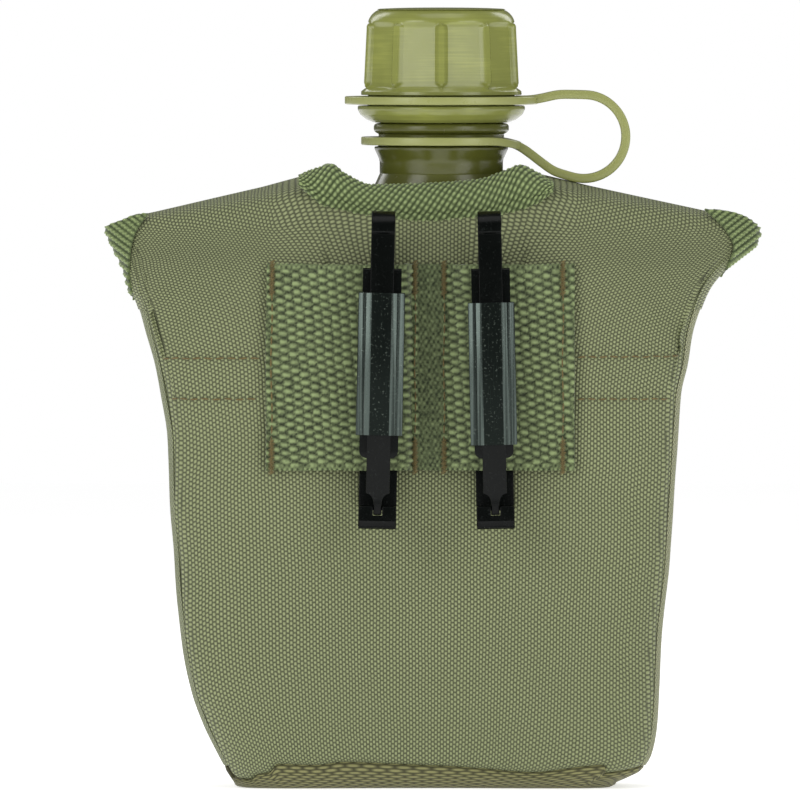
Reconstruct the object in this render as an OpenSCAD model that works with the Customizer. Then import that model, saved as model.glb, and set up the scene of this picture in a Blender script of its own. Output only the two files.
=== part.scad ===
// One-quart canteen in its nylon belt cover.
// The belt side faces -Y, the flap side +Y. The origin is on the flat bottom of the cover,
// under the axis of the bottle's neck. Millimetres.

/* [Cover] */
// Sideways shift of the cover's centre line from the bottle's neck
cover_x = -4.5; // [-6:0.5:-3]
// Middle of the cover's depth, front to back
cover_mid_y = 2; // [1:0.5:3]
// Thickness of one layer of nylon cloth
cloth_t = 1.1; // [0.8:0.1:1.3]
// Thickness of the pile lining
pile_t = 1.6; // [1:0.1:1.7]
// Height of the seam round the bottom panel
seam_z = 6.8; // [6:0.1:8]
// Height of the front panel's top edge
front_top_z = 137; // [132:1:138]
// Height of the shoulder line beside the neck opening
crest_z = 170.2; // [169.6:0.2:170.4]
// Fall of the shoulder line for each millimetre outward
crest_slope = 0.22; // [0.2:0.01:0.23]

/* [Flaps] */
// Gap that the snap fasteners keep between flap and front panel
flap_gap = 2.8; // [2.7:0.1:3.2]
// Height of a flap's lowest point
flap_low_z = 104; // [104:1:110]
// Sideways place of a snap fastener from the cover's centre line
snap_x = 46; // [42:1:48]
// Height of a snap fastener
snap_z = 117; // [116:1:122]
// Radius of a snap fastener's cap
snap_r = 7.2; // [6:0.1:7.5]

/* [Pocket] */
// Width of the tablet pocket
pocket_w = 58; // [52:1:60]
// Height of the pocket's lower seam
pocket_z = 40; // [36:1:44]
// Height of the pocket from its lower seam to its mouth
pocket_h = 58; // [54:1:58]
// How far the pocket stands off the front panel
pocket_bulge = 9; // [7:0.5:9]

/* [Belt webbing] */
// Width of the webbing, which is its height on the cover
web_w = 57.5; // [55:0.5:59]
// Height of the webbing's lower edge
web_z = 89.4; // [88:0.2:91]
// Thickness of the webbing
web_t = 1.6; // [1.2:0.1:1.8]

/* [Bottle] */
// Outer radius of the neck
neck_r = 17.3; // [17:0.1:17.5]
// Radius of the mouth
mouth_r = 14; // [13:0.1:14.2]
// Height of the mouth's rim
neck_top_z = 214.2; // [213:0.1:214.2]
// Wall of the blown body
bottle_wall = 1.9; // [1.5:0.1:2.2]
// Rise of the thread in one turn
thread_pitch = 6; // [5:0.5:6]

/* [Cap] */
// Height of the cap's top face
cap_top_z = 218.4; // [218:0.1:219]
// Radius over the ribs
cap_r = 21.8; // [21.4:0.1:22]
// Number of grip ribs
cap_ribs = 10; // [8:1:12]
// Outer radius of the retaining ring under the cap
ring_r = 27.1; // [26.5:0.1:27.5]
// Width of the retaining strap
strap_w = 9; // [8:0.5:9]
// Thickness of the retaining strap
strap_t = 2.5; // [2:0.1:2.6]

/* [Belt clips] */
// Height of a clip over all
clip_h = 88.6; // [88:0.1:89]
// Height of a clip's lower end
clip_z = 73.3; // [73:0.1:74]
// Width of a clip's back leg
leg_w = 10.6; // [10:0.1:10.8]
// Width of the front strip
strip_w = 6.6; // [6:0.1:7]
// Width of the locking sleeve
sleeve_w = 13; // [12.8:0.1:13.2]
// Length of the locking sleeve
sleeve_h = 39.8; // [38:0.1:40]
// Lean of each clip away from upright
clip_lean = 1.2; // [1:0.1:1.3]

/* [Hidden] */
$fn = 96;

ring_points = 32;        // points round each lofted section
crest_in = 29;           // where a shoulder piece starts, from the centre line
crest_out = 84;          // where it ends, at the tip binding
edge_angle = 16;         // section angle of the seam between back panel and gusset
front_angle = 39;        // section angle of the seam between gusset and front panel
gusset_top_z = 136;
panel_heights = [7.1, 10, 16, 25, 53, 81, 110];   // rows of points on the upright panels

// The cover's outer section at each height: half width, half depth, squareness of the corners,
// and how far the two ends bend toward the belt side.
cover_half_widths = [[0, 52], [3, 55.5], [6, 58], [10, 60.5], [25, 64.5], [53, 68], [81, 70.5],
                     [110, 73], [130, 77.5], [144, 84], [153, 91.5]];
cover_half_depths = [[0, 25], [3, 28], [6, 30], [12, 32], [30, 34], [130, 34], [145, 32.5],
                     [155, 29], [162, 26], [172, 24]];
cover_squareness = [[0, 3], [30, 3.4], [110, 3.4], [130, 3], [145, 2.3], [153, 1.7], [162, 1.5]];
cover_bend = [[0, 11], [30, 14], [120, 14], [150, 9], [170, 5]];

// The blown bottle's section, the same way, about the neck's axis.
bottle_half_widths = [[4.2, 40], [6, 46], [10, 51], [25, 55.5], [53, 59], [81, 61.3], [110, 63],
                      [125, 61.0], [138, 55], [148, 47], [156, 37.5], [163, 26], [168, 19.2],
                      [172, 17.2]];
bottle_half_depths = [[4.2, 16], [6, 21], [12, 25.5], [30, 28.8], [110, 29], [130, 26.5],
                      [148, 22.5], [160, 19], [168, 17.6], [172, 17.2]];
bottle_squareness = [[4.2, 2.8], [30, 3.2], [110, 3.2], [140, 2.6], [165, 2.1], [172, 2]];
bottle_bend = [[4.2, 8], [30, 11], [110, 11], [150, 5], [166, 0]];
bottle_mid = [[4.2, 2], [110, 2], [166, 0]];
bottle_heights = [4.2, 6, 10, 17, 30, 60, 90, 110, 125, 138, 148, 156, 163, 168, 172.5];

ring_gap = 0.35;                       // running clearance of the two strap rings
bore_r = 17.35;                        // cap's bore
thread_core_r = 15.7;
thread_turns = 1.75;
bore_top_z = 216;                      // ceiling of the cap's bore, above the gasket
bottle_thread_z = 197;                 // where the bottle's thread starts
cap_thread_z = 194;                    // where the cap's starts, half a turn's rise away
seat_z = 193.9;                        // top of the strap ring's groove in the cap
neck_ring_z = 179.8;
ring_t = 2.4;

leg_y = -34.9;                         // belt face of the back leg
strip_y = -45.5;                       // outer face of the front strip
steel_t = 1.2;
clip_top_z = clip_z + clip_h;
bend_r = (leg_y + steel_t - strip_y) / 2;
bend_z = clip_top_z - bend_r;
plate_z = 93;
plate_h = 52;
clip_mid_z = 117;
left_clip_x = -17.1;
right_clip_x = 14.2;
tunnel_y = leg_y - 0.4;                // inner face of the webbing over a leg

function lerp(a, b, t) = a + (b - a) * t;
function ease(t) = let (k = max(0, min(1, t))) k * k * (3 - 2 * k);
function signed_pow(v, e) = sign(v) * pow(abs(v), e);
function unit(v) = v / norm(v);

// A point of the cover's skin at section angle t (-90 is the belt side, 0 is +X) and height z.
function skin(t, z, out) =
    let (n = lookup(z, cover_squareness), c = signed_pow(cos(t), 2 / n), s = signed_pow(sin(t), 2 / n))
    [cover_x + (lookup(z, cover_half_widths) + out) * c,
     cover_mid_y + (lookup(z, cover_half_depths) + out) * s - lookup(z, cover_bend) * c * c, z];

// The skin's depth at a distance x from the centre line: side is -1 for the belt side, 1 for the front.
function skin_y(x, z, side, out) =
    let (n = lookup(z, cover_squareness), c = min(1, abs(x) / (lookup(z, cover_half_widths) + out)))
    cover_mid_y + side * (lookup(z, cover_half_depths) + out) * pow(1 - pow(c, n), 1 / n)
    - lookup(z, cover_bend) * c * c;

function on_skin(x, z, side, out) = [cover_x + x, skin_y(x, z, side, out), z];

// The ridge of each shoulder, and its fall to the belt side and to the flap's fold.
function crest(x) = crest_z - crest_slope * (x - 35);
function crest_rise(x) = lerp(4.5, 0.8, (x - crest_in) / (crest_out - crest_in));
function back_top(x) =
    let (a = abs(x)) a < crest_in ? 156.8 + 9 * pow(a / crest_in, 2)
                                  : crest(a) - crest_rise(min(a, crest_out)) - 0.4;
function fold_z(x) = crest(x) - 1.5 * crest_rise(x);
function fold_y(x) = lerp(24, 3, (x - crest_in) / (crest_out - crest_in));

// A closed sheet between two grids of points, with i across and j along, seen from the outer side.
module sheet(outer, inner) {
    nu = len(outer);
    nv = len(outer[0]);
    half = nu * nv;
    function at(i, j) = i * nv + j;
    function quad(a, b, c, d) = [[a, b, c], [a, c, d]];
    skins = [for (i = [0 : nu - 2], j = [0 : nv - 2])
        each concat(quad(at(i, j), at(i, j + 1), at(i + 1, j + 1), at(i + 1, j)),
                    quad(half + at(i, j), half + at(i + 1, j), half + at(i + 1, j + 1),
                         half + at(i, j + 1)))];
    ends = [for (i = [0 : nu - 2])
        each concat(quad(at(i, 0), at(i + 1, 0), half + at(i + 1, 0), half + at(i, 0)),
                    quad(at(i, nv - 1), half + at(i, nv - 1), half + at(i + 1, nv - 1),
                         at(i + 1, nv - 1)))];
    sides = [for (j = [0 : nv - 2])
        each concat(quad(at(0, j), half + at(0, j), half + at(0, j + 1), at(0, j + 1)),
                    quad(at(nu - 1, j), at(nu - 1, j + 1), half + at(nu - 1, j + 1),
                         half + at(nu - 1, j)))];
    polyhedron([for (row = outer) each row, for (row = inner) each row],
               concat(skins, ends, sides), convexity = 8);
}

// A closed solid through rings of points, each ring counter-clockwise about the way of travel.
module loft(rings) {
    n = len(rings[0]);
    last = len(rings) - 1;
    walls = [for (r = [0 : last - 1], k = [0 : n - 1])
        let (a = r * n + k, b = r * n + (k + 1) % n)
        each [[a, a + n, b + n], [a, b + n, b]]];
    caps = [[for (k = [0 : n - 1]) k], [for (k = [n - 1 : -1 : 0]) last * n + k]];
    polyhedron([for (ring = rings) each ring], concat(walls, caps), convexity = 8);
}

function skin_ring(z, out) = [for (k = [0 : ring_points - 1]) skin(360 * k / ring_points, z, out)];

function bottle_ring(z, inset) =
    let (n = lookup(z, bottle_squareness))
    [for (k = [0 : ring_points - 1])
        let (t = 360 * k / ring_points, c = signed_pow(cos(t), 2 / n), s = signed_pow(sin(t), 2 / n))
        [(lookup(z, bottle_half_widths) - inset) * c,
         lookup(z, bottle_mid) + (lookup(z, bottle_half_depths) - inset) * s
         - lookup(z, bottle_bend) * c * c, z]];

// A round tube along a path, with its rings square to the path.
module tube(path, r, sides = 8) {
    last = len(path) - 1;
    loft([for (i = [0 : last])
        let (d = unit(path[min(i + 1, last)] - path[max(i - 1, 0)]),
             side = unit(cross([0, 0.6, 0.8], d)), up = cross(d, side))
        [for (k = [0 : sides - 1]) path[i] + r * (cos(360 * k / sides) * side
                                                  + sin(360 * k / sides) * up)]]);
}

// The mirror image across the cover's centre line, for what the left side shares with the right.
module left() {
    translate([2 * cover_x, 0, 0]) mirror([1, 0, 0]) children();
}

// A trapezoid ridge that climbs a cylinder of radius r; step is +1 outward and -1 inward.
module thread_ridge(r, step, z, turns) {
    parts = 24;
    depth = 1.3;
    root = 0.6;
    loft([for (i = [0 : turns * parts])
        let (a = 360 * i / parts, h = z + thread_pitch * i / parts,
             fade = min(1, min(i, turns * parts - i) / 3),
             tip = r + step * lerp(0.1, depth, fade))
        [for (p = [[r - step * root, h - 1.1], [tip, h - 0.5], [tip, h + 0.5],
                   [r - step * root, h + 1.1]])
            [p[0] * cos(a), p[0] * sin(a), p[1]]]]);
}

module bottle_body() color([0.40, 0.42, 0.24]) {
    shell = [for (z = bottle_heights) bottle_ring(z, 0)];
    count = len(bottle_heights);
    cavity = [for (i = [count - 1 : -1 : 1]) bottle_ring(bottle_heights[i], bottle_wall)];
    floor_ring = [bottle_ring(bottle_heights[0] + bottle_wall, bottle_wall + 2)];
    loft(concat(shell, [bottle_ring(bottle_heights[count - 1], neck_r - mouth_r - 0.3)],
                [for (i = [1 : len(cavity) - 2]) cavity[i]], floor_ring));
    rotate_extrude()
        polygon([[mouth_r, 171.5], [neck_r, 171.5], [neck_r, 176.3], [18.8, 179.4],
                 [17.6, 179.5], [17.6, 183.1], [18.4, 183.3], [18.95, 183.9], [18.95, 185.3],
                 [18.4, 185.9], [thread_core_r, 186.1], [thread_core_r, neck_top_z - 0.6],
                 [thread_core_r - 0.5, neck_top_z], [mouth_r, neck_top_z]]);
    thread_ridge(thread_core_r, 1, bottle_thread_z, thread_turns);
}

// The cap: flat faces between grip ribs, one rib facing the belt side, and a flange below
// the groove that holds the strap's ring.
module cap() color([0.53, 0.56, 0.31]) {
    skirt_z = seat_z + 3.2;
    grip_z = seat_z + 0.4;
    grip_h = cap_top_z - grip_z;
    rib_r = 1.7;
    corner = 4.6;
    difference() {
        union() {
            intersection() {
                rotate(-90) translate([0, 0, grip_z]) {
                    cylinder(r = cap_r - 0.6, h = grip_h, $fn = cap_ribs);
                    for (k = [0 : cap_ribs - 1])
                        rotate(360 * k / cap_ribs) translate([cap_r - rib_r, 0, 0])
                            cylinder(r = rib_r, h = grip_h, $fn = 24);
                }
                rotate_extrude() {
                    square([cap_r - corner, cap_top_z]);
                    square([cap_r, cap_top_z - corner]);
                    translate([cap_r - corner, cap_top_z - corner]) circle(corner);
                }
            }
            rotate_extrude()
                polygon([[bore_r, 186.7], [18.4, 186.7], [23.3, 190.6], [23.3, 190.9],
                         [20.5, 190.9], [20.5, seat_z], [22.6, seat_z], [22.4, seat_z + 0.6],
                         [19.9, skirt_z], [bore_r, skirt_z]]);
        }
        cylinder(r = bore_r, h = bore_top_z);
    }
    thread_ridge(bore_r, -1, cap_thread_z, thread_turns);
}

module cap_gasket() color([0.12, 0.12, 0.11])
    translate([0, 0, neck_top_z + 0.05]) cylinder(r = 16.4, h = 1.65);

module cap_ring() color([0.55, 0.58, 0.36])
    translate([0, 0, 191.2]) difference() {
        union() {
            cylinder(r = ring_r, h = ring_t);
            translate([19, -strap_w / 2, 0]) cube([ring_r + 0.2 - 19, strap_w, ring_t]);
        }
        translate([0, 0, -1]) cylinder(r = 20.5 + ring_gap, h = ring_t + 2);
    }

module neck_ring() color([0.45, 0.47, 0.28]) difference() {
    union() {
        translate([0, 0, neck_ring_z]) cylinder(r = 22.5, h = ring_t);
        rotate([90, 0, 0]) translate([0, 0, -strap_w / 2]) linear_extrude(strap_w)
            polygon([[20, neck_ring_z], [20, neck_ring_z + ring_t], [22.6, neck_ring_z + ring_t],
                     [26.1, 177.9], [24.3, 175.8]]);
    }
    translate([0, 0, neck_ring_z - 6]) cylinder(r = 17.6 + ring_gap, h = 12);
    translate([0, 0, neck_ring_z - 8]) cylinder(r = 19.9, h = 8);
}

// The strap leaves the cap's ring, loops out to the right and comes back to the neck's ring.
module strap_band() color([0.57, 0.58, 0.37]) {
    loop = [40, 182.2];
    loop_r = 11.9;
    route = concat([[27.5, 192.8], [33, 194.1]],
                   [for (a = [80 : -15 : -100]) loop + loop_r * [cos(a), sin(a)]],
                   [[31.5, 172.2], [25.5, 176.7]]);
    last = len(route) - 1;
    away = function (i) let (d = unit(route[min(i + 1, last)] - route[max(i - 1, 0)]))
        strap_t / 2 * [-d[1], d[0]];
    rotate([90, 0, 0]) translate([0, 0, -strap_w / 2]) linear_extrude(strap_w)
        polygon(concat([for (i = [0 : last]) route[i] + away(i)],
                       [for (i = [last : -1 : 0]) route[i] - away(i)]));
}

module back_panel() color([0.49, 0.51, 0.39]) {
    across = 22;
    low = len(panel_heights);
    up = low + 5;
    spot = function (i, j, out)
        let (t = -180 + edge_angle + (180 - 2 * edge_angle) * i / across,
             top = back_top(skin(t, 153, 0)[0] - cover_x),
             z = j < low ? panel_heights[j] : lerp(panel_heights[low - 1], top, (j - low + 1) / 6))
        skin(t, z, out);
    sheet([for (i = [0 : across]) [for (j = [0 : up]) spot(i, j, 0)]],
          [for (i = [0 : across]) [for (j = [0 : up]) spot(i, j, -cloth_t)]]);
}

// A patch of the cover's skin between two section angles, with a row of points at each height.
module skin_patch(t0, t1, heights, across, outer = 0, inner = -cloth_t) {
    function spot(i, z, out) = skin(lerp(t0, t1, i / across), z, out);
    sheet([for (i = [0 : across]) [for (z = heights) spot(i, z, outer)]],
          [for (i = [0 : across]) [for (z = heights) spot(i, z, inner)]]);
}

module front_panel() color([0.49, 0.51, 0.39])
    skin_patch(front_angle + 1, 179 - front_angle, concat(panel_heights, [122, 130, front_top_z]), 16);

module right_gusset() color([0.56, 0.57, 0.45])
    skin_patch(-edge_angle + 1, front_angle, concat(panel_heights, [122, 130, gusset_top_z]), 6);

module left_gusset() left() right_gusset();

module front_binding() color([0.43, 0.49, 0.35])
    skin_patch(front_angle + 1, 179 - front_angle, [for (h = [0.2, 2, 4]) front_top_z + h], 16, 0.4, -1.3);

module right_tip_binding() color([0.46, 0.52, 0.38]) {
    across = 8;
    up = 6;
    spot = function (i, j, out)
        let (t = lerp(-edge_angle + 1, edge_angle - 1, i / across),
             x = skin(t, 153, 0)[0] - cover_x,
             z = lerp(gusset_top_z + 0.4, crest(x) - 0.4, j / up))
        skin(t, z, out);
    sheet([for (i = [0 : across]) [for (j = [0 : up]) spot(i, j, 0.2)]],
          [for (i = [0 : across]) [for (j = [0 : up]) spot(i, j, -1.5)]]);
}

module left_tip_binding() left() right_tip_binding();

module bottom_panel() color([0.44, 0.43, 0.31]) difference() {
    loft([skin_ring(0, 0), skin_ring(3, 0), skin_ring(seam_z, 0), skin_ring(seam_z, -cloth_t - 0.2),
          skin_ring(3, -cloth_t - 0.2), skin_ring(1.6, -2.4)]);
    eyelet_place() {
        translate([0, 0, -1]) cylinder(r = 4.1, h = 4);
        translate([0, 0, -1]) cylinder(r = 7, h = 1.55);
    }
}

module eyelet_place() translate([cover_x, 11, 0]) children();

module drain_eyelet() color([0.08, 0.08, 0.08]) eyelet_place() difference() {
    union() {
        translate([0, 0, 0.05]) cylinder(r = 6.8, h = 0.45);
        translate([0, 0, 0.05]) cylinder(r = 4, h = 1.85);
    }
    translate([0, 0, -1]) cylinder(r = 3.3, h = 4);
}

module pile_lining() color([0.62, 0.58, 0.44]) {
    heights = concat([2.3, 4, 6], [for (i = [1 : 6]) panel_heights[i]], [122, 130, 137, 142]);
    outer = -cloth_t - 0.5;
    last = len(heights) - 1;
    shell = [for (z = heights) skin_ring(z, outer)];
    inside = [for (i = [last : -1 : 1]) skin_ring(heights[i], outer - pile_t)];
    difference() {
        loft(concat([skin_ring(heights[0], outer - 2)], [for (i = [1 : last]) shell[i]], inside,
                    [skin_ring(heights[0] + pile_t - 0.1, outer - pile_t - 2.2)]));
        eyelet_place() cylinder(r = 4.1, h = 5);
    }
}

module right_shoulder() color([0.49, 0.51, 0.39]) {
    across = 8;
    over = 10;
    spot = function (i, j, drop)
        let (x = lerp(crest_in, crest_out, i / across), v = j / over,
             y0 = skin_y(x, back_top(x), -1, 0) + 0.1, fall = pow(2 * v - 1, 2) * (v < 0.5 ? 1 : 1.5))
        [cover_x + x, lerp(y0, fold_y(x), v) + drop * (1 - 2 * v) * 0.7,
         crest(x) - crest_rise(x) * fall - drop];
    sheet([for (i = [0 : across]) [for (j = [0 : over]) spot(i, j, 0)]],
          [for (i = [0 : across]) [for (j = [0 : over]) spot(i, j, cloth_t)]]);
}

module left_shoulder() left() right_shoulder();

// The rolled tape on a shoulder's inner edge, beside the neck.
module right_shoulder_binding() color([0.43, 0.49, 0.35]) {
    roll_r = 2.1;
    tube([for (v = [0 : 0.1 : 1])
        [cover_x + crest_in - roll_r - 0.6, lerp(-16, fold_y(crest_in) - 1, v),
         crest(crest_in) - crest_rise(crest_in) * pow(2 * v - 1, 2) - 0.8]], roll_r);
}

module left_shoulder_binding() left() right_shoulder_binding();

// The wide bound edge behind the neck.
module neck_binding() color([0.44, 0.50, 0.35]) {
    across = 16;
    up = 5;
    spot = function (i, j, out)
        let (x = lerp(1 - crest_in, crest_in - 1, i / across), low = back_top(x) + 2,
             z = lerp(low, 169.5, j / up), roll = sin(180 * j / up))
        on_skin(x, z, -1, out * (1 + 0.4 * roll));
    sheet([for (i = [0 : across]) [for (j = [0 : up]) spot(i, j, 1.3)]],
          [for (i = [0 : across]) [for (j = [0 : up]) spot(i, j, -1.3)]]);
}

// A flap from the fold at the front shoulder (v = 0) down to its rounded lower edge (v = 1),
// first as the (x, z) place of each of its points and then on the cover's front.
function flap_xz(u, v) =
    let (x0 = lerp(crest_in, crest_out, u), z1 = flap_low_z + 24 * pow(abs(2 * u - 1), 2.4))
    [lerp(x0, lerp(16, 72, u), v), lerp(fold_z(x0) - 0.6, z1, v)];
function flap_point(u, v, out, shift = [0, 0]) =
    let (top = flap_xz(u, 0), p = flap_xz(u, v) + shift,
         tuck = fold_y(top[0]) - skin_y(top[0], top[1], 1, flap_gap))
    on_skin(p[0], p[1], 1, flap_gap + out) + [0, tuck * pow(1 - v, 3), 0];

module right_flap() color([0.49, 0.51, 0.39]) {
    across = 10;
    down = 10;
    sheet([for (i = [across : -1 : 0]) [for (j = [down : -1 : 0])
              flap_point(i / across, j / down, cloth_t)]],
          [for (i = [across : -1 : 0]) [for (j = [down : -1 : 0])
              flap_point(i / across, j / down, 0)]]);
}

module left_flap() left() right_flap();

module right_flap_binding() color([0.43, 0.49, 0.35]) {
    roll_r = 1.5;
    reach = roll_r + 0.5;
    along = [0.1, 0.25, 0.4, 0.55, 0.7, 0.85, 1];
    turn = function (way) unit([way[1], -way[0]]);
    inner_out = turn(flap_xz(0, 1) - flap_xz(0, 0));
    outer_out = -turn(flap_xz(1, 1) - flap_xz(1, 0));
    lower_out = function (u) turn(flap_xz(u + 0.02, 1) - flap_xz(u - 0.02, 1));
    corner = function (a, b) 1.2 * reach * unit(a + b);
    tube(concat([for (v = along) flap_point(0, v, cloth_t / 2, reach * inner_out)],
                [flap_point(0, 1, cloth_t / 2, corner(inner_out, lower_out(0.02)))],
                [for (u = [0.1 : 0.1 : 0.91]) flap_point(u, 1, cloth_t / 2, reach * lower_out(u))],
                [flap_point(1, 1, cloth_t / 2, corner(outer_out, lower_out(0.98)))],
                [for (i = [len(along) - 1 : -1 : 0])
                    flap_point(1, along[i], cloth_t / 2, reach * outer_out)]), roll_r);
}

module left_flap_binding() left() right_flap_binding();

// Puts its children on the front skin with +Z along the outward normal.
module at_snap() {
    step = 2;
    slope_x = (skin_y(snap_x + step, snap_z, 1, 0) - skin_y(snap_x - step, snap_z, 1, 0)) / (2 * step);
    slope_z = (skin_y(snap_x, snap_z + step, 1, 0) - skin_y(snap_x, snap_z - step, 1, 0)) / (2 * step);
    normal = unit([-slope_x, 1, -slope_z]);
    translate(on_skin(snap_x, snap_z, 1, 0))
        rotate([0, acos(normal[2]), atan2(normal[1], normal[0])]) children();
}

// The pressed cap on the flap's face, and the socket behind the flap.
module right_snap_cap() color([0.09, 0.09, 0.09]) at_snap() {
    face = flap_gap + cloth_t + 0.35;
    translate([0, 0, face]) rotate_extrude()
        polygon([[0, 0], [snap_r, 0], [snap_r, 0.5], [snap_r - 1, 1.2], [0, 1.8]]);
    translate([0, 0, 1.15]) difference() {
        cylinder(r = 5.6, h = flap_gap - 1.15 - 0.35);
        translate([0, 0, -1]) cylinder(r = 2.9, h = 4);
    }
}

module left_snap_cap() left() right_snap_cap();

module right_snap_stud() color([0.09, 0.09, 0.09]) at_snap() {
    translate([0, 0, 0.25]) cylinder(r = 5.6, h = 0.6);
    translate([0, 0, 0.25]) cylinder(r = 2.6, h = 1.7);
}

module left_snap_stud() left() right_snap_stud();

// How far the webbing is lifted into a tunnel: 1 over a clip's leg, 0 at the sewn lines.
function tunnel_lift(x) =
    let (l = abs(x - (left_clip_x - cover_x)), r = abs(x - (right_clip_x - cover_x)),
         wide_l = x < left_clip_x - cover_x ? 28 : 9, wide_r = x < right_clip_x - cover_x ? 12 : 19)
    max(1 - ease((l - 7) / (wide_l - 7)), 1 - ease((r - 7) / (wide_r - 7)));

module belt_webbing() color([0.38, 0.44, 0.30]) {
    across = 36;
    up = 6;
    spot = function (i, j, out)
        let (x = lerp(-44.3, 41.7, i / across), z = web_z + web_w * j / up,
             flat = skin_y(x, z, -1, 0) - 0.45, y = lerp(flat, tunnel_y, tunnel_lift(x)))
        [cover_x + x, y - out, z];
    sheet([for (i = [0 : across]) [for (j = [0 : up]) spot(i, j, web_t)]],
          [for (i = [0 : across]) [for (j = [0 : up]) spot(i, j, 0)]]);
}

// The pocket's front wall: sewn down at the sides and below, open above.
function pocket_out(u, v) =
    0.6 + pocket_bulge * (1 - pow(abs(2 * u - 1), 3.5)) * (1 - pow(1 - v, 3.5));
function pocket_point(u, v, out) =
    on_skin(pocket_w * (u - 0.5), pocket_z + pocket_h * v, 1, pocket_out(u, v) + out);

module tablet_pocket() color([0.49, 0.51, 0.39]) {
    across = 14;
    up = 8;
    sheet([for (i = [across : -1 : 0]) [for (j = [0 : up]) pocket_point(i / across, j / up, 1)]],
          [for (i = [across : -1 : 0]) [for (j = [0 : up]) pocket_point(i / across, j / up, 0)]]);
}

pocket_flap_out = [[0, 1.2], [0.12, 5.5], [0.25, 9.6], [0.4, 11.9], [1, 12.3]];
pocket_flap_z = [[0, 5], [0.12, 5.2], [0.25, 3.8], [0.4, -0.5], [1, -28]];
function pocket_flap_point(u, v, out) =
    let (corner_rise = v == 1 ? 5 * pow(abs(2 * u - 1), 3) : 0)
    on_skin((pocket_w + 3) * (u - 0.5),
            pocket_z + pocket_h + lookup(v, pocket_flap_z) + corner_rise, 1,
            lookup(v, pocket_flap_out) + pocket_bulge - 9 + out);

module pocket_flap() color([0.49, 0.51, 0.39]) {
    across = 12;
    steps = [0, 0.12, 0.25, 0.4, 0.6, 0.8, 1];
    sheet([for (i = [0 : across]) [for (v = steps) pocket_flap_point(i / across, v, 1)]],
          [for (i = [0 : across]) [for (v = steps) pocket_flap_point(i / across, v, 0)]]);
}

module pocket_loop_strip() color([0.30, 0.33, 0.24]) {
    sheet([for (i = [10 : -1 : 0]) [for (j = [0 : 3])
              pocket_point(0.2 + 0.06 * i, 0.62 + 0.09 * j, 1.5)]],
          [for (i = [10 : -1 : 0]) [for (j = [0 : 3])
              pocket_point(0.2 + 0.06 * i, 0.62 + 0.09 * j, 1.1)]]);
}

module pocket_hook_strip() color([0.24, 0.27, 0.20]) {
    sheet([for (i = [0 : 10]) [for (j = [0 : 3])
              pocket_flap_point(0.2 + 0.06 * i, 0.5 + 0.13 * j, -0.1)]],
          [for (i = [0 : 10]) [for (j = [0 : 3])
              pocket_flap_point(0.2 + 0.06 * i, 0.5 + 0.13 * j, -0.45)]]);
}

// Puts a clip, drawn upright at x = 0, in its place with its lean.
module clip_place(side) {
    x = side < 0 ? left_clip_x : right_clip_x;
    translate([x, 0, clip_mid_z]) rotate([0, side * clip_lean * -1, 0])
        translate([0, 0, -clip_mid_z]) children();
}

// Extrudes a front-view outline of (x, z) points between two depths.
module plate_xz(y0, y1) {
    translate([0, y1, 0]) rotate([90, 0, 0]) linear_extrude(y1 - y0) children();
}

// The back leg, wide inside the webbing's tunnel, the bend over the top, and the lip at the bottom
// with the notch that takes the strip's tongue. The lip's lower edge is bent outward.
module clip_leg() {
    back = leg_y + steel_t;
    shelf_z = 78.4;
    wide_top_z = 145;
    front = strip_y - 1.5;
    kink_z = 75.7;
    notch_w = 2.7;
    notch_z = 77.1;
    plate_xz(leg_y, back) {
        translate([-leg_w / 2, shelf_z]) square([leg_w, wide_top_z - shelf_z]);
        translate([-strip_w / 2, wide_top_z - 1]) square([strip_w, bend_z - wide_top_z + 1]);
    }
    translate([-strip_w / 2, 0, 0]) intersection() {
        translate([0, back - bend_r, bend_z]) rotate([0, 90, 0]) difference() {
            cylinder(r = bend_r, h = strip_w);
            translate([0, 0, -1]) cylinder(r = bend_r - steel_t, h = strip_w + 2);
        }
        translate([-1, back - 2 * bend_r - 1, bend_z]) cube([strip_w + 2, 2 * bend_r + 2, bend_r + 1]);
    }
    difference() {
        translate([-leg_w / 2, 0, 0]) rotate([90, 0, 90]) linear_extrude(leg_w)
            polygon([[back, shelf_z], [back, shelf_z + steel_t], [front, shelf_z + steel_t],
                     [front, kink_z], [front - 1.6, clip_z + 0.6], [front - 0.6, clip_z],
                     [front + steel_t, kink_z - 0.3], [front + steel_t, shelf_z]]);
        translate([-notch_w / 2, front - 1, notch_z]) cube([notch_w, 5, 6]);
    }
}

// The springy front strip, drawn in to a tongue that sits in the lip's notch.
module clip_strip() {
    tongue_w = 2.3;
    tongue_z = 77.2;
    root_r = 2.6;
    root_z = 80.6;
    top_gap = 0.35;
    plate_xz(strip_y, strip_y + steel_t) difference() {
        translate([-strip_w / 2, tongue_z]) square([strip_w, bend_z - top_gap - tongue_z]);
        for (s = [0, 1]) mirror([s, 0]) {
            translate([tongue_w / 2 + root_r, root_z]) circle(root_r, $fn = 32);
            translate([tongue_w / 2, tongue_z - 1]) square([strip_w, root_z - tongue_z + 1]);
        }
    }
}

// The stiffener behind the strip, with its rolled upper edge.
module clip_plate() {
    w = 10.8;
    corner = 2;
    y = strip_y + steel_t + 0.1;
    plate_xz(y, y + 1.1) {
        translate([-w / 2, plate_z + corner]) square([w, plate_h - corner]);
        translate([-w / 2 + corner, plate_z]) square([w - 2 * corner, corner + 1]);
        for (s = [-1, 1])
            translate([s * (w / 2 - corner), plate_z + corner]) circle(corner, $fn = 32);
    }
    translate([-w / 2, y + 1.1, plate_z + plate_h]) rotate([0, 90, 0]) cylinder(r = 1, h = w);
}

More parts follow.
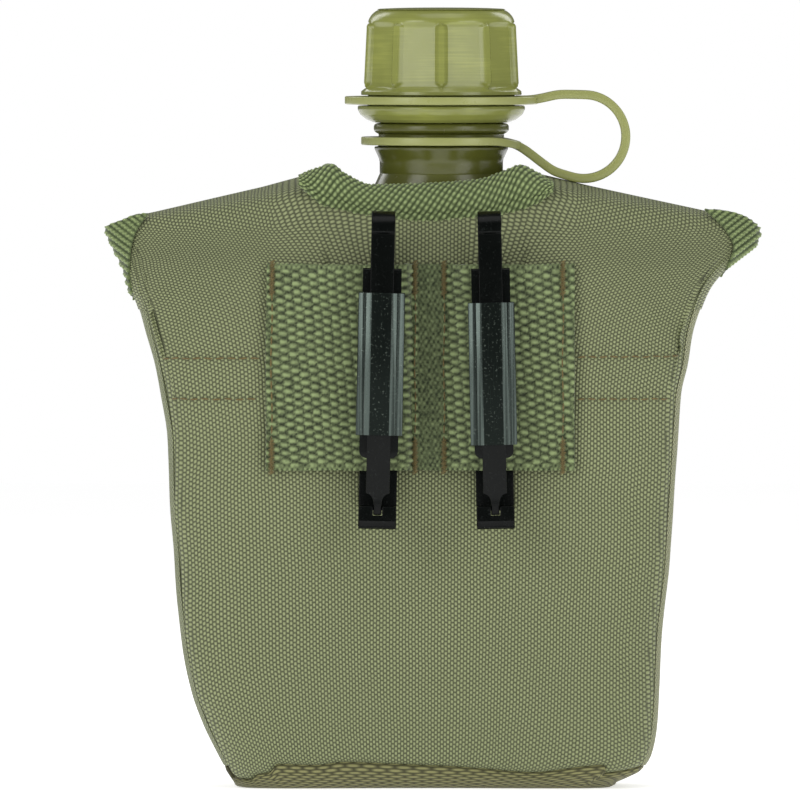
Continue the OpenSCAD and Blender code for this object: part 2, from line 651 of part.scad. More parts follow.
// The locking sleeve round strip and stiffener: a flat middle, and a grooved face on each side
// that slopes back.
module clip_sleeve(z) {
    half_w = sleeve_w / 2;
    flat_w = 2.75;
    y0 = strip_y - 1.05;
    y1 = strip_y + 3.4;
    slope = 0.44;
    groove_x = 4.7;
    groove = 0.3;
    function face(x) = y0 + slope * (x - flat_w);
    half_outer = [[flat_w, y0], [groove_x - groove, face(groove_x - groove)],
                  [groove_x, face(groove_x) + groove], [groove_x + groove, face(groove_x + groove)],
                  [half_w, face(half_w)], [half_w, y1]];
    half_inner = [[strip_w / 2 + 0.2, strip_y - 0.2], [strip_w / 2 + 0.2, strip_y + steel_t - 0.1],
                  [half_w - 0.8, strip_y + steel_t - 0.1], [half_w - 0.8, strip_y + 2.65]];
    function both(side) = concat(side, [for (i = [len(side) - 1 : -1 : 0]) [-side[i][0], side[i][1]]]);
    translate([0, 0, z]) linear_extrude(sleeve_h) difference() {
        polygon(both(half_outer));
        polygon(both(half_inner));
    }
}

module left_clip_leg() color([0.07, 0.07, 0.07]) clip_place(-1) clip_leg();
module right_clip_leg() color([0.07, 0.07, 0.07]) clip_place(1) clip_leg();
module left_clip_strip() color([0.07, 0.07, 0.07]) clip_place(-1) clip_strip();
module right_clip_strip() color([0.07, 0.07, 0.07]) clip_place(1) clip_strip();
module left_clip_plate() color([0.10, 0.10, 0.10]) clip_place(-1) clip_plate();
module right_clip_plate() color([0.10, 0.10, 0.10]) clip_place(1) clip_plate();
module left_clip_sleeve() color([0.16, 0.17, 0.15]) clip_place(-1) clip_sleeve(99.4);
module right_clip_sleeve() color([0.16, 0.17, 0.15]) clip_place(1) clip_sleeve(96.7);

bottle_body();
cap();
cap_gasket();
cap_ring();
neck_ring();
strap_band();
back_panel();
front_panel();
left_gusset();
right_gusset();
bottom_panel();
pile_lining();
left_shoulder();
right_shoulder();
neck_binding();
left_shoulder_binding();
right_shoulder_binding();
left_tip_binding();
right_tip_binding();
front_binding();
left_flap();
right_flap();
left_flap_binding();
right_flap_binding();
left_snap_cap();
right_snap_cap();
left_snap_stud();
right_snap_stud();
belt_webbing();
tablet_pocket();
pocket_flap();
pocket_hook_strip();
pocket_loop_strip();
drain_eyelet();
left_clip_leg();
right_clip_leg();
left_clip_strip();
right_clip_strip();
left_clip_plate();
right_clip_plate();
left_clip_sleeve();
right_clip_sleeve();
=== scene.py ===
import math

import bmesh
import bpy
import numpy as np
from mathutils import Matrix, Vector, noise


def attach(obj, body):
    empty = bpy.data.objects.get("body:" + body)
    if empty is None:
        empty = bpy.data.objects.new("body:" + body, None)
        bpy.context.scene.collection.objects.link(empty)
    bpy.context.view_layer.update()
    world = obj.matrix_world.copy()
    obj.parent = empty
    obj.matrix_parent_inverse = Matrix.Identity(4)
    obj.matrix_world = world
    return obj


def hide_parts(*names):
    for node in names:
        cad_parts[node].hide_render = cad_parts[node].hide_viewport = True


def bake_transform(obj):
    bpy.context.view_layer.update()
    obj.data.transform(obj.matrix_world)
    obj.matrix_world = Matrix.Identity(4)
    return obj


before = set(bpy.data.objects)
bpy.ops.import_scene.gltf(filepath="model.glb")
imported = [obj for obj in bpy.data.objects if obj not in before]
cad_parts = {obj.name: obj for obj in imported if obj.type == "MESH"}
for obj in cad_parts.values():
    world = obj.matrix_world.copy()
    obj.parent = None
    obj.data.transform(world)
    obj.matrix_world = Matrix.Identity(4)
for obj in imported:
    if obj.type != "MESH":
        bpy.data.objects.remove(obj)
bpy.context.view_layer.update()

# Lengths below are millimetres in the frame of the CAD model, as in the part's source. Only
# mesh_object() turns them into metres. The belt side faces -Y, and the neck's axis is at x = y = 0.

MM = 0.001
rng = np.random.default_rng(7)

# ---------------------------------------------------------------- sizes shared with the CAD source

COVER_X = -4.5
COVER_MID_Y = 2.0
CLOTH_T = 1.1
CREST_IN = 29.0
CREST_OUT = 84.0
EDGE_ANGLE = 16.0
FRONT_ANGLE = 39.0
FRONT_TOP_Z = 137.0
GUSSET_TOP_Z = 136.0
FLAP_GAP = 2.8
FLAP_LOW_Z = 104.0

HALF_WIDTHS = [[0, 52], [3, 55.5], [6, 58], [10, 60.5], [25, 64.5], [53, 68], [81, 70.5],
               [110, 73], [130, 77.5], [144, 84], [153, 91.5], [175, 91.5]]
HALF_DEPTHS = [[0, 25], [3, 28], [6, 30], [12, 32], [30, 34], [130, 34], [145, 32.5],
               [155, 29], [162, 26], [172, 24]]
SQUARENESS = [[0, 3], [30, 3.4], [110, 3.4], [130, 3], [145, 2.3], [153, 1.7], [162, 1.5]]
BEND = [[0, 11], [30, 14], [120, 14], [150, 9], [170, 5]]

# Half widths of the filled cover, which bulges unevenly: from the centre line to either side.
LEFT_OUTLINE = [[1.4, 53.3], [5.6, 56.3], [9.8, 58.6], [18.2, 62.7], [26.5, 65.8], [39.1, 68.4],
                [51.7, 69.8], [64.2, 70.6], [81, 71.9], [97.8, 72.5], [110.3, 74.4], [118.7, 76.1],
                [127.1, 78.6], [135.5, 81.1], [139.7, 83.1], [143.9, 84.2], [148, 85.9],
                [152.2, 88.1], [156.4, 89.6], [160, 89.8]]
RIGHT_OUTLINE = [[1.4, 53.6], [5.6, 61.4], [9.8, 63.8], [18.2, 65.3], [26.5, 65.9], [39.1, 66.4],
                 [51.7, 67.5], [64.2, 68.8], [81, 69.9], [97.8, 71.1], [110.3, 71.9], [118.7, 73.9],
                 [127.1, 75.3], [135.5, 78.1], [139.7, 80.1], [143.9, 83.4], [148, 87.9],
                 [151.6, 92.4], [155, 93.7], [160, 92.5]]

BOTTLE_HALF_WIDTHS = [[4.2, 40], [6, 46], [10, 51], [25, 55.5], [53, 59], [81, 61.3], [110, 63],
                      [125, 61.0], [138, 55], [148, 47], [156, 37.5], [163, 26], [168, 19.2],
                      [172, 17.2]]
BOTTLE_HALF_DEPTHS = [[4.2, 16], [6, 21], [12, 25.5], [30, 28.8], [110, 29], [130, 26.5],
                      [148, 22.5], [160, 19], [168, 17.6], [172, 17.2]]
BOTTLE_SQUARENESS = [[4.2, 2.8], [30, 3.2], [110, 3.2], [140, 2.6], [165, 2.1], [172, 2]]
BOTTLE_BEND = [[4.2, 8], [30, 11], [110, 11], [150, 5], [166, 0]]
BOTTLE_MID = [[4.2, 2], [110, 2], [166, 0]]
BOTTLE_WALL = 1.9

NECK_R = 17.3
MOUTH_R = 14.0
NECK_TOP_Z = 214.2
THREAD_CORE_R = 15.7
THREAD_PITCH = 6.0
THREAD_TURNS = 1.75
BOTTLE_THREAD_Z = 197.0
CAP_THREAD_Z = 194.0
CAP_BORE_R = 17.35
CAP_CEILING_Z = 216.0
CAP_TOP_Z = 218.4
CAP_RIBS = 10

WEB_X = (-44.3, 41.7)
WEB_Z = 89.4
WEB_W = 57.5
WEB_T = 1.6
WEB_COLUMN = 2.5
WEB_ROW = 2.3
TUNNEL_Y = -35.3
CLIPS = {"left": -17.1, "right": 14.2}

STITCH_SAMPLES = 240
STITCH_SIDES = 6


# ---------------------------------------------------------------- curves and the cover's surface

def lerp(a, b, t):
    return a + (b - a) * t


def ease(t):
    k = max(0.0, min(1.0, t))
    return k * k * (3 - 2 * k)


def straight_at(z, table):
    return float(np.interp(z, [row[0] for row in table], [row[1] for row in table]))


def curve_at(z, table):
    """A smooth curve through the table's points, flat beyond its ends."""
    if z <= table[0][0]:
        return table[0][1]
    if z >= table[-1][0]:
        return table[-1][1]
    i = next(k for k in range(len(table) - 1) if z <= table[k + 1][0])
    (z0, a), (z1, b) = table[i], table[i + 1]
    step = (b - a) / (z1 - z0)

    def slope(k):
        if k < 0 or k + 1 >= len(table):
            return step
        s = (table[k + 1][1] - table[k][1]) / (table[k + 1][0] - table[k][0])
        return 0.0 if s * step <= 0 else 2 * s * step / (s + step)

    m0, m1 = slope(i - 1), slope(i + 1)
    t, h = (z - z0) / (z1 - z0), z1 - z0
    return ((2 * t ** 3 - 3 * t * t + 1) * a + (t ** 3 - 2 * t * t + t) * h * m0
            + (3 * t * t - 2 * t ** 3) * b + (t ** 3 - t * t) * h * m1)


def column(k, z, side, out=0.0):
    """A point of the cover's skin. k is the signed cosine of the section angle."""
    n = curve_at(z, SQUARENESS)
    c = math.copysign(abs(k) ** (2 / n), k)
    y = (COVER_MID_Y + side * (curve_at(z, HALF_DEPTHS) + out) * max(0, 1 - abs(c) ** n) ** (1 / n)
         - curve_at(z, BEND) * c * c)
    return (COVER_X + (curve_at(z, HALF_WIDTHS) + out) * c, y, z)


def edge_c(z):
    """How far across the half width the back panel's seam to the gusset lies."""
    return math.cos(math.radians(EDGE_ANGLE)) ** (2 / curve_at(z, SQUARENESS))


def panel_point(share, z, out=0.0):
    """A point of the back panel: share runs from -1 at its left seam to 1 at its right."""
    c = share * edge_c(z)
    return (COVER_X + (curve_at(z, HALF_WIDTHS) + out) * c,
            skin_y(c * (curve_at(z, HALF_WIDTHS) + out), z, -1, out), z)


def share_through(x, z):
    return x / (curve_at(z, HALF_WIDTHS) * edge_c(z))


def skin(angle, z, out=0.0):
    """The same skin by section angle in degrees: -90 is the belt side and 0 is +X."""
    return column(math.cos(math.radians(angle)), z, -1 if angle < 0 else 1, out)


def skin_y(x, z, side, out):
    n = curve_at(z, SQUARENESS)
    c = min(1.0, abs(x) / (curve_at(z, HALF_WIDTHS) + out))
    return (COVER_MID_Y + side * (curve_at(z, HALF_DEPTHS) + out) * (1 - c ** n) ** (1 / n)
            - curve_at(z, BEND) * c * c)


def crest(x):
    return 170.2 - 0.22 * (x - 35)


def crest_rise(x):
    return lerp(4.5, 0.8, (min(max(x, CREST_IN), CREST_OUT) - CREST_IN) / (CREST_OUT - CREST_IN))


def fold_z(x):
    return crest(x) - 1.5 * crest_rise(x)


def fold_y(x):
    return lerp(24, 3, (x - CREST_IN) / (CREST_OUT - CREST_IN))


def back_top(x):
    a = abs(x)
    return 156.8 + 9 * (a / CREST_IN) ** 2 if a < CREST_IN else crest(a) - crest_rise(a) - 0.4


def flap_xz(u, v):
    x0 = lerp(CREST_IN, CREST_OUT, u)
    z1 = FLAP_LOW_Z + 24 * abs(2 * u - 1) ** 2.4
    return lerp(x0, lerp(16, 72, u), v), lerp(fold_z(x0) - 0.6, z1, v)


def flap_point(u, v, out=0.0, shift=(0.0, 0.0)):
    """A point of the right flap: u runs from its neck edge to its outer edge, v down from the fold."""
    top_x, top_z = flap_xz(u, 0)
    x, z = flap_xz(u, v)
    tuck = fold_y(top_x) - skin_y(top_x, top_z, 1, FLAP_GAP)
    x, z = x + shift[0], z + shift[1]
    return (COVER_X + x, skin_y(x, z, 1, FLAP_GAP + out) + tuck * (1 - v) ** 3, z)


def settled(points):
    """Cover points moved sideways to the filled cover's outline, the more the nearer its edge."""
    p = np.array(points, float)
    x = p[:, 0] - COVER_X
    steps = np.linspace(0, 175, 351)
    width = np.interp(p[:, 2], steps, [curve_at(z, HALF_WIDTHS) for z in steps])
    left = np.interp(p[:, 2], steps, [curve_at(z, LEFT_OUTLINE) for z in steps])
    right = np.interp(p[:, 2], steps, [curve_at(z, RIGHT_OUTLINE) for z in steps])
    share = np.clip((np.abs(x) / width - 0.45) / 0.55, 0, 1)
    p[:, 0] += np.sign(x) * (np.where(x < 0, left, right) - width) * share ** 2 * (3 - 2 * share)
    sag = np.clip((np.abs(x) - 34) / 12, 0, 1) * np.clip((p[:, 2] - 150) / 12, 0, 1)
    p[:, 2] -= np.where(x < 0, 0.6, 0.2) * sag
    return p


def mirrored(points, side):
    """Points of the right side, or their mirror image across the cover's centre line."""
    p = np.array(points, float)
    if side == "left":
        p[..., 0] = 2 * COVER_X - p[..., 0]
    return p


# ---------------------------------------------------------------- meshes

def resample(points, count):
    points = np.array(points, float)
    run = np.concatenate([[0], np.cumsum(np.linalg.norm(np.diff(points, axis=0), axis=1))])
    at = np.linspace(0, run[-1], count)
    return np.stack([np.interp(at, run, points[:, k]) for k in range(3)], axis=1)


def soften(points, spacing, passes):
    """The polyline at even spacing with its corners rounded off."""
    points = np.array(points, float)
    length = np.linalg.norm(np.diff(points, axis=0), axis=1).sum()
    even = resample(points, max(4, int(round(length / spacing)) + 1))
    for _ in range(passes):
        even[1:-1] = (even[:-2] + 2 * even[1:-1] + even[2:]) / 4
    return even


def normals_of(grid):
    """Unit normals of a grid of points, from du x dv."""
    n = np.cross(np.gradient(grid, axis=0), np.gradient(grid, axis=1))
    return n / np.maximum(np.linalg.norm(n, axis=2, keepdims=True), 1e-9)


def grid_uv(grid):
    """Distances along the two directions of a grid, in metres."""
    along = np.linalg.norm(np.diff(grid, axis=0), axis=2).mean(axis=1)
    up = np.linalg.norm(np.diff(grid, axis=1), axis=2).mean(axis=0)
    u = np.concatenate([[0], np.cumsum(along)])[:, None] * np.ones(grid.shape[1])[None]
    v = np.concatenate([[0], np.cumsum(up)])[None] * np.ones(grid.shape[0])[:, None]
    return np.stack([u, v], axis=2) * MM


def mesh_object(name, points, faces, uv=None, sharp=40):
    """A mesh from points in millimetres. uv gives each point's place in the weave, in metres."""
    mesh = bpy.data.meshes.new(name)
    mesh.from_pydata([tuple(float(c) * MM for c in p) for p in points], [], faces)
    if uv is not None:
        layer = mesh.uv_layers.new(name="weave")
        order = np.zeros(len(mesh.loops), int)
        mesh.loops.foreach_get("vertex_index", order)
        layer.data.foreach_set("uv", np.asarray(uv, float)[order].ravel())
    mesh.validate()
    tidy = bmesh.new()
    tidy.from_mesh(mesh)
    bmesh.ops.recalc_face_normals(tidy, faces=tidy.faces)
    tidy.to_mesh(mesh)
    tidy.free()
    mesh.polygons.foreach_set("use_smooth", [True] * len(mesh.polygons))
    mesh.set_sharp_from_angle(angle=math.radians(sharp))
    obj = bpy.data.objects.new(name, mesh)
    bpy.context.scene.collection.objects.link(obj)
    return obj


class Build:
    """Collects grids and tubes that become one mesh."""

    def __init__(self):
        self.points, self.faces, self.uv = [], [], []

    def add(self, points, faces, uv=None):
        start = len(self.points)
        self.points += [tuple(p) for p in points]
        self.faces += [tuple(start + k for k in f) for f in faces]
        self.uv += [tuple(w) for w in uv] if uv is not None else [(0.0, 0.0)] * len(points)

    def sheet(self, outer, inner, uv=None):
        """A closed sheet between two grids of the same shape."""
        nu, nv = outer.shape[:2]
        half = nu * nv
        at = lambda i, j: i * nv + j
        faces = []
        for i in range(nu - 1):
            for j in range(nv - 1):
                quad = (at(i, j), at(i, j + 1), at(i + 1, j + 1), at(i + 1, j))
                faces += [quad, tuple(half + k for k in reversed(quad))]
        rim = ([at(i, 0) for i in range(nu)] + [at(nu - 1, j) for j in range(1, nv)]
               + [at(i, nv - 1) for i in range(nu - 2, -1, -1)] + [at(0, j) for j in range(nv - 2, 0, -1)])
        faces += [(a, b, half + b, half + a) for a, b in zip(rim, rim[1:] + rim[:1])]
        uv = grid_uv(outer) if uv is None else uv
        flat = uv.reshape(-1, 2)
        self.add(np.concatenate([outer.reshape(-1, 3), inner.reshape(-1, 3)]), faces,
                 np.concatenate([flat, flat]))

    def cloth(self, outer, thick, uv=None):
        """A sheet whose other face lies thick below the grid, against its normals."""
        self.sheet(outer, outer - thick * normals_of(outer), uv)

    def loft(self, rings, close=True):
        """A solid through rings of points, with its ends closed."""
        rings = np.array(rings, float)
        nr, n = rings.shape[:2]
        faces = [(r * n + k, r * n + (k + 1) % n, (r + 1) * n + (k + 1) % n, (r + 1) * n + k)
                 for r in range(nr - 1) for k in range(n)]
        if close:
            faces += [tuple(range(n - 1, -1, -1)), tuple((nr - 1) * n + k for k in range(n))]
        run = np.concatenate([[0], np.cumsum(np.linalg.norm(np.diff(rings, axis=0), axis=2).mean(1))])
        girth = np.linalg.norm(np.diff(rings[nr // 2], axis=0, append=rings[nr // 2][:1]), axis=1)
        round_ = np.concatenate([[0], np.cumsum(girth)[:-1]])
        uv = np.stack([run[:, None] * np.ones(n), np.ones(nr)[:, None] * round_], 2) * MM
        self.add(rings.reshape(-1, 3), faces, uv.reshape(-1, 2))

    def make(self, name, sharp=40, settle=True):
        points = settled(self.points) if settle else self.points
        return mesh_object(name, points, self.faces, self.uv, sharp)


def frames(path, up=(0.0, -0.6, 0.8)):
    """Two unit directions square to the path at each of its points."""
    path = np.array(path, float)
    along = np.gradient(path, axis=0)
    along /= np.linalg.norm(along, axis=1, keepdims=True)
    side = np.cross(np.array(up), along)
    side /= np.linalg.norm(side, axis=1, keepdims=True)
    return side, np.cross(along, side)


def tube_rings(path, radius, sides, up=(0.0, -0.6, 0.8)):
    """Rings round a path."""
    path = np.array(path, float)
    side, top = frames(path, up)
    radius = np.ones(len(path)) * radius
    angle = np.linspace(0, 2 * math.pi, sides, endpoint=False)
    r = radius[:, None] * np.ones(sides)
    return (path[:, None] + (r * np.cos(angle))[..., None] * side[:, None]
            + (r * np.sin(angle))[..., None] * top[:, None])


def filleted(profile, radius, steps=5):
    """A profile of (r, z) points with its inner corners rounded."""
    out = [profile[0]]
    for a, b, c in zip(profile, profile[1:], profile[2:]):
        a, b, c = (np.array(p, float) for p in (a, b, c))
        la, lc = np.linalg.norm(a - b), np.linalg.norm(c - b)
        cut = min(radius, la * 0.45, lc * 0.45)
        p, q = b + (a - b) / la * cut, b + (c - b) / lc * cut
        out += [tuple((1 - t) ** 2 * p + 2 * t * (1 - t) * b + t * t * q)
                for t in np.linspace(0, 1, steps)]
    return out + [profile[-1]]


def turned(build, profile, segments=128, radius_at=None):
    """Turns a closed profile round the neck's axis."""
    rings = []
    for k in range(segments):
        a = 2 * math.pi * k / segments
        rings.append([(r * math.cos(a), r * math.sin(a), z) if radius_at is None else
                      (radius_at(r, z, a) * math.cos(a), radius_at(r, z, a) * math.sin(a), z)
                      for r, z in profile])
    rings = np.array(rings)
    n = len(profile)
    faces = [(i * n + j, i * n + (j + 1) % n, ((i + 1) % segments) * n + (j + 1) % n,
              ((i + 1) % segments) * n + j) for i in range(segments) for j in range(n)]
    build.add(rings.reshape(-1, 3), faces)


def stitches(build, path, pitch, length, radius, lift=0.0):
    """A row of thread stitches, each a small rounded capsule along the path."""
    path = resample(path, STITCH_SAMPLES)
    run = np.concatenate([[0], np.cumsum(np.linalg.norm(np.diff(path, axis=0), axis=1))])
    at = lambda s: np.array([np.interp(s, run, path[:, k]) for k in range(3)])
    start = 0.0
    while start + length < run[-1]:
        spots = np.linspace(start, start + length, 7)
        swell = np.sin(np.linspace(0.12, math.pi - 0.12, 7)) ** 0.5
        line = np.array([at(s) for s in spots])
        line[:, 1] -= lift * swell
        build.loft(tube_rings(line, radius * swell, STITCH_SIDES))
        start += pitch


def ripple(x, y, z, scale, seed):
    """Smooth noise from -1 to 1 that varies over about the given distance."""
    return noise.noise(Vector((x / scale + seed, y / scale, z / scale)))


# ---------------------------------------------------------------- materials

class Material:
    """A procedural material under construction, with short ways to add its nodes."""

    def __init__(self, name, roughness, specular=0.5, sheen=0.0):
        self.made = bpy.data.materials.new(name)
        self.made.use_nodes = True
        self.tree = self.made.node_tree
        self.shader = self.tree.nodes["Principled BSDF"]
        self.shader.inputs["Roughness"].default_value = roughness
        self.shader.inputs["Specular IOR Level"].default_value = specular
        self.shader.inputs["Sheen Weight"].default_value = sheen

    def node(self, kind, inputs=(), **settings):
        made = self.tree.nodes.new(kind)
        for key, value in settings.items():
            setattr(made, key, value)
        for key, value in dict(inputs).items():
            if isinstance(value, bpy.types.NodeSocket):
                self.tree.links.new(value, made.inputs[key])
            else:
                made.inputs[key].default_value = value
        return made

    def math(self, operation, a, b=0.0):
        return self.node("ShaderNodeMath", {0: a, 1: b}, operation=operation).outputs[0]

    def scale_add(self, value, factor, offset):
        """value * factor + offset."""
        made = self.node("ShaderNodeMath", {0: value, 1: factor, 2: offset}, operation="MULTIPLY_ADD")
        return made.outputs[0]

    def noise(self, scale, detail=3.0, where=None, roughness=0.5):
        where = where or self.node("ShaderNodeTexCoord").outputs["Object"]
        return self.node("ShaderNodeTexNoise", {"Vector": where, "Scale": scale, "Detail": detail,
                                                "Roughness": roughness}).outputs["Fac"]

    def weave_place(self, wander=0.0):
        """The two distances along the cloth, in metres, with a little wander of the yarns."""
        uv = self.node("ShaderNodeUVMap", uv_map="weave").outputs["UV"]
        if wander:
            stir = self.node("ShaderNodeTexNoise", {"Vector": uv, "Scale": 90.0, "Detail": 1.0})
            centred = self.node("ShaderNodeVectorMath", {0: stir.outputs["Color"], 1: (0.5, 0.5, 0.5)},
                                operation="SUBTRACT").outputs[0]
            moved = self.node("ShaderNodeVectorMath", {0: centred, "Scale": wander}, operation="SCALE")
            uv = self.node("ShaderNodeVectorMath", {0: uv, 1: moved.outputs[0]}, operation="ADD").outputs[0]
        split = self.node("ShaderNodeSeparateXYZ", {0: uv})
        return split.outputs[0], split.outputs[1]

    def upright_floats(self, u, v, pitch_u, pitch_v):
        """Upright oval floats in columns, each column half a step above the one beside it."""
        column = self.math("DIVIDE", u, pitch_u)
        hump = self.math("SINE", self.math("MULTIPLY", self.math("FRACT", column), math.pi))
        across = self.math("POWER", hump, 0.7)
        shift = self.math("MULTIPLY", self.math("FLOOR", column), math.pi)
        phase = self.math("ADD", self.math("MULTIPLY", v, 2 * math.pi / pitch_v), shift)
        along = self.math("ADD", self.math("MULTIPLY", self.math("COSINE", phase), 0.5), 0.5)
        return self.math("MULTIPLY", across, self.math("POWER", along, 0.5))

    def checker_bumps(self, u, v, pitch_u, pitch_v):
        """Bumps at every second crossing of the yarns: 1 on a float, 0 in the gaps between."""
        a = self.math("COSINE", self.math("MULTIPLY", u, 2 * math.pi / pitch_u))
        b = self.math("COSINE", self.math("MULTIPLY", v, 2 * math.pi / pitch_v))
        return self.math("ADD", self.math("MULTIPLY", self.math("MULTIPLY", a, b), 0.5), 0.5)

    def ramp(self, factor, stops):
        made = self.node("ShaderNodeValToRGB", {"Fac": factor})
        elements = made.color_ramp.elements
        while len(elements) < len(stops):
            elements.new(0.5)
        for element, (place, colour) in zip(elements, stops):
            element.position = place
            element.color = (*colour, 1)
        return made.outputs["Color"]

    def mix(self, factor, a, b):
        made = self.node("ShaderNodeMix", data_type="RGBA")
        for index, value in ((0, factor), (6, a), (7, b)):
            if isinstance(value, bpy.types.NodeSocket):
                self.tree.links.new(value, made.inputs[index])
            else:
                made.inputs[index].default_value = value if index == 0 else (*value, 1)
        return made.outputs[2]

    def colour(self, socket):
        self.tree.links.new(socket, self.shader.inputs["Base Color"])

    def roughness(self, socket):
        self.tree.links.new(socket, self.shader.inputs["Roughness"])

    def bump(self, height, distance, strength=1.0):
        made = self.node("ShaderNodeBump", {"Height": height, "Distance": distance, "Strength": strength})
        self.tree.links.new(made.outputs["Normal"], self.shader.inputs["Normal"])


def srgb(r, g, b):
    """A colour given as 0 to 255 sRGB values, in the linear values that shaders use."""
    return tuple((c / 255 / 12.92) if c / 255 <= 0.04045 else ((c / 255 + 0.055) / 1.055) ** 2.4
                 for c in (r, g, b))


def scaled(colour, factor):
    return tuple(c * factor for c in colour)


FLOAT_PITCH_ACROSS = 0.925
FLOAT_PITCH_UP = 1.34


def nylon(name, colour, contrast=1.0):
    """Coated nylon duck: upright warp floats at every second crossing, painted bright as highlight on the
    floats and painted dark as shade in the gaps between.
    """
    m = Material(name, roughness=0.6, specular=0.3, sheen=0.06)
    m.shader.inputs["Sheen Roughness"].default_value = 0.4
    u, v = m.weave_place(wander=0.0006)
    floats = m.upright_floats(u, v, FLOAT_PITCH_ACROSS * MM, FLOAT_PITCH_UP * MM)
    # dark is painted shade in the gaps and light is painted highlight on the floats; contrast sets how strong
    # both are.
    dark = scaled(colour, lerp(1.0, 0.30, contrast))
    light = scaled(colour, lerp(1.0, 1.9, contrast))
    woven = m.ramp(floats, [(0.10, dark), (0.45, scaled(colour, 0.9)), (0.8, light), (1.0, light)])
    patches = m.noise(14.0, 2.0)
    toned = m.mix(m.math("MULTIPLY", patches, 0.3), woven, scaled(colour, 0.8))
    fuzz = m.noise(2600.0, 2.0)
    m.colour(m.mix(m.math("MULTIPLY", fuzz, 0.34), toned, scaled(colour, 0.6)))
    m.bump(m.math("ADD", floats, m.math("MULTIPLY", fuzz, 0.12)), 0.00032, 0.9)
    return m.made


def woven_tape(name, low, high):
    """Tape and webbing whose loops are real geometry: colour follows how far a point stands out, painted
    shade down in the hollows and painted highlight on the raised loops.
    """
    m = Material(name, roughness=0.72, specular=0.25, sheen=0.2)
    m.shader.inputs["Sheen Roughness"].default_value = 0.5
    raised = m.node("ShaderNodeAttribute", attribute_name="raised").outputs["Fac"]
    strands = m.noise(1500.0, 3.0, roughness=0.7)
    shade = m.scale_add(m.math("SUBTRACT", strands, 0.5), 0.55, raised)
    patches = m.noise(60.0, 2.0)
    # low is painted shade for the hollows, high is painted highlight for the raised loops.
    base = m.ramp(shade, [(0.12, low), (0.5, scaled(high, 0.5)), (0.95, high)])
    m.colour(m.mix(m.math("MULTIPLY", patches, 0.25), base, scaled(high, 0.5)))
    m.bump(strands, 0.000225, 0.6)
    return m.made


def moulded(name, colour, roughness, blotch, specular=0.5, highlight_streaks=0.0):
    """Moulded plastic: faint blotches, a fine grain and scuffs in the gloss.

    highlight_streaks adds pale lines that run round an upright part, painted streaks of highlight."""
    m = Material(name, roughness=roughness, specular=specular)
    cloud = m.noise(38.0, 4.0, roughness=0.6)
    specks = m.noise(900.0, 2.0)
    tone = m.ramp(cloud, [(0.3, scaled(colour, 1 - blotch)), (0.7, scaled(colour, 1 + blotch))])
    worn = m.mix(m.math("MULTIPLY", specks, 0.12), tone, scaled(colour, 0.75))
    # Pale lines painted in as streaks of highlight, 1.75 times the plastic's colour.
    if highlight_streaks:
        place = m.node("ShaderNodeTexCoord").outputs["Object"]
        rows = m.node("ShaderNodeMapping", {"Vector": place, "Scale": (60.0, 60.0, 1900.0)}).outputs[0]
        painted_streaks = m.math("MULTIPLY", m.noise(1.0, 3.0, where=rows), m.noise(95.0, 2.0))
        worn = m.mix(m.node("ShaderNodeMapRange", {0: painted_streaks, 1: 0.22, 2: 0.42, 4: highlight_streaks}).outputs[0],
                     worn, scaled(colour, 1.75))
    m.colour(worn)
    scuffs = m.noise(220.0, 5.0, roughness=0.7)
    m.roughness(m.scale_add(scuffs, 0.22, roughness - 0.11))
    m.bump(m.math("ADD", m.math("MULTIPLY", cloud, 2.0), specks), 0.00004, 0.7)
    return m.made


def steel(name, colour, roughness, worn, specular=0.5, streaks=False):
    """Blackened steel with a satin skin and paler worn specks.

    With streaks it is the sleeve: drawn lines run down it, and only its sloping faces are bright."""
    m = Material(name, roughness=roughness, specular=specular)
    where = m.node("ShaderNodeTexCoord").outputs["Object"]
    grit = m.noise(1400.0, 3.0, roughness=0.7)
    if streaks:
        drawn = m.node("ShaderNodeMapping", {"Vector": where, "Scale": (6.0, 6.0, 0.4)}).outputs[0]
        cloud = m.noise(260.0, 4.0, where=drawn)
        normal = m.node("ShaderNodeNewGeometry").outputs["True Normal"]
        facing = m.node("ShaderNodeSeparateXYZ", {0: normal})
        sideways = m.math("ABSOLUTE", facing.outputs[0])
        sloping = m.node("ShaderNodeMapRange", {0: sideways, 1: 0.2, 2: 0.34}).outputs[0]
        fine = m.node("ShaderNodeMapping", {"Vector": where, "Scale": (1500.0, 1500.0, 6.0)}).outputs[0]
        lines = m.node("ShaderNodeMapRange", {0: m.noise(1.0, 2.0, where=fine), 1: 0.40, 2: 0.52}).outputs[0]
        bright = m.math("MULTIPLY", sloping, m.scale_add(lines, 0.75, 0.35))
        m.tree.links.new(m.scale_add(bright, specular - 0.1, 0.1), m.shader.inputs["Specular IOR Level"])
        m.shader.inputs["Specular Tint"].default_value = (0.80, 1.0, 0.90, 1)
    else:
        cloud = m.noise(160.0, 4.0)
    specks = m.ramp(grit, [(0.0, colour), (0.6, colour), (0.74, worn)])
    m.colour(m.mix(m.math("MULTIPLY", cloud, 0.5), specks, scaled(colour, 1.8)))
    m.roughness(m.scale_add(cloud, 0.2, roughness - 0.1))
    m.bump(m.math("ADD", grit, m.math("MULTIPLY", cloud, 1.5)), 0.00002, 0.6)
    return m.made


def thread(name, colour):
    """Twisted sewing thread: fine slanted strands across each stitch."""
    m = Material(name, roughness=0.6, specular=0.3, sheen=0.15)
    strands = m.noise(2400.0, 2.0)
    m.colour(m.ramp(strands, [(0.25, scaled(colour, 0.45)), (0.75, scaled(colour, 1.25))]))
    m.bump(strands, 0.00012, 0.8)
    return m.made


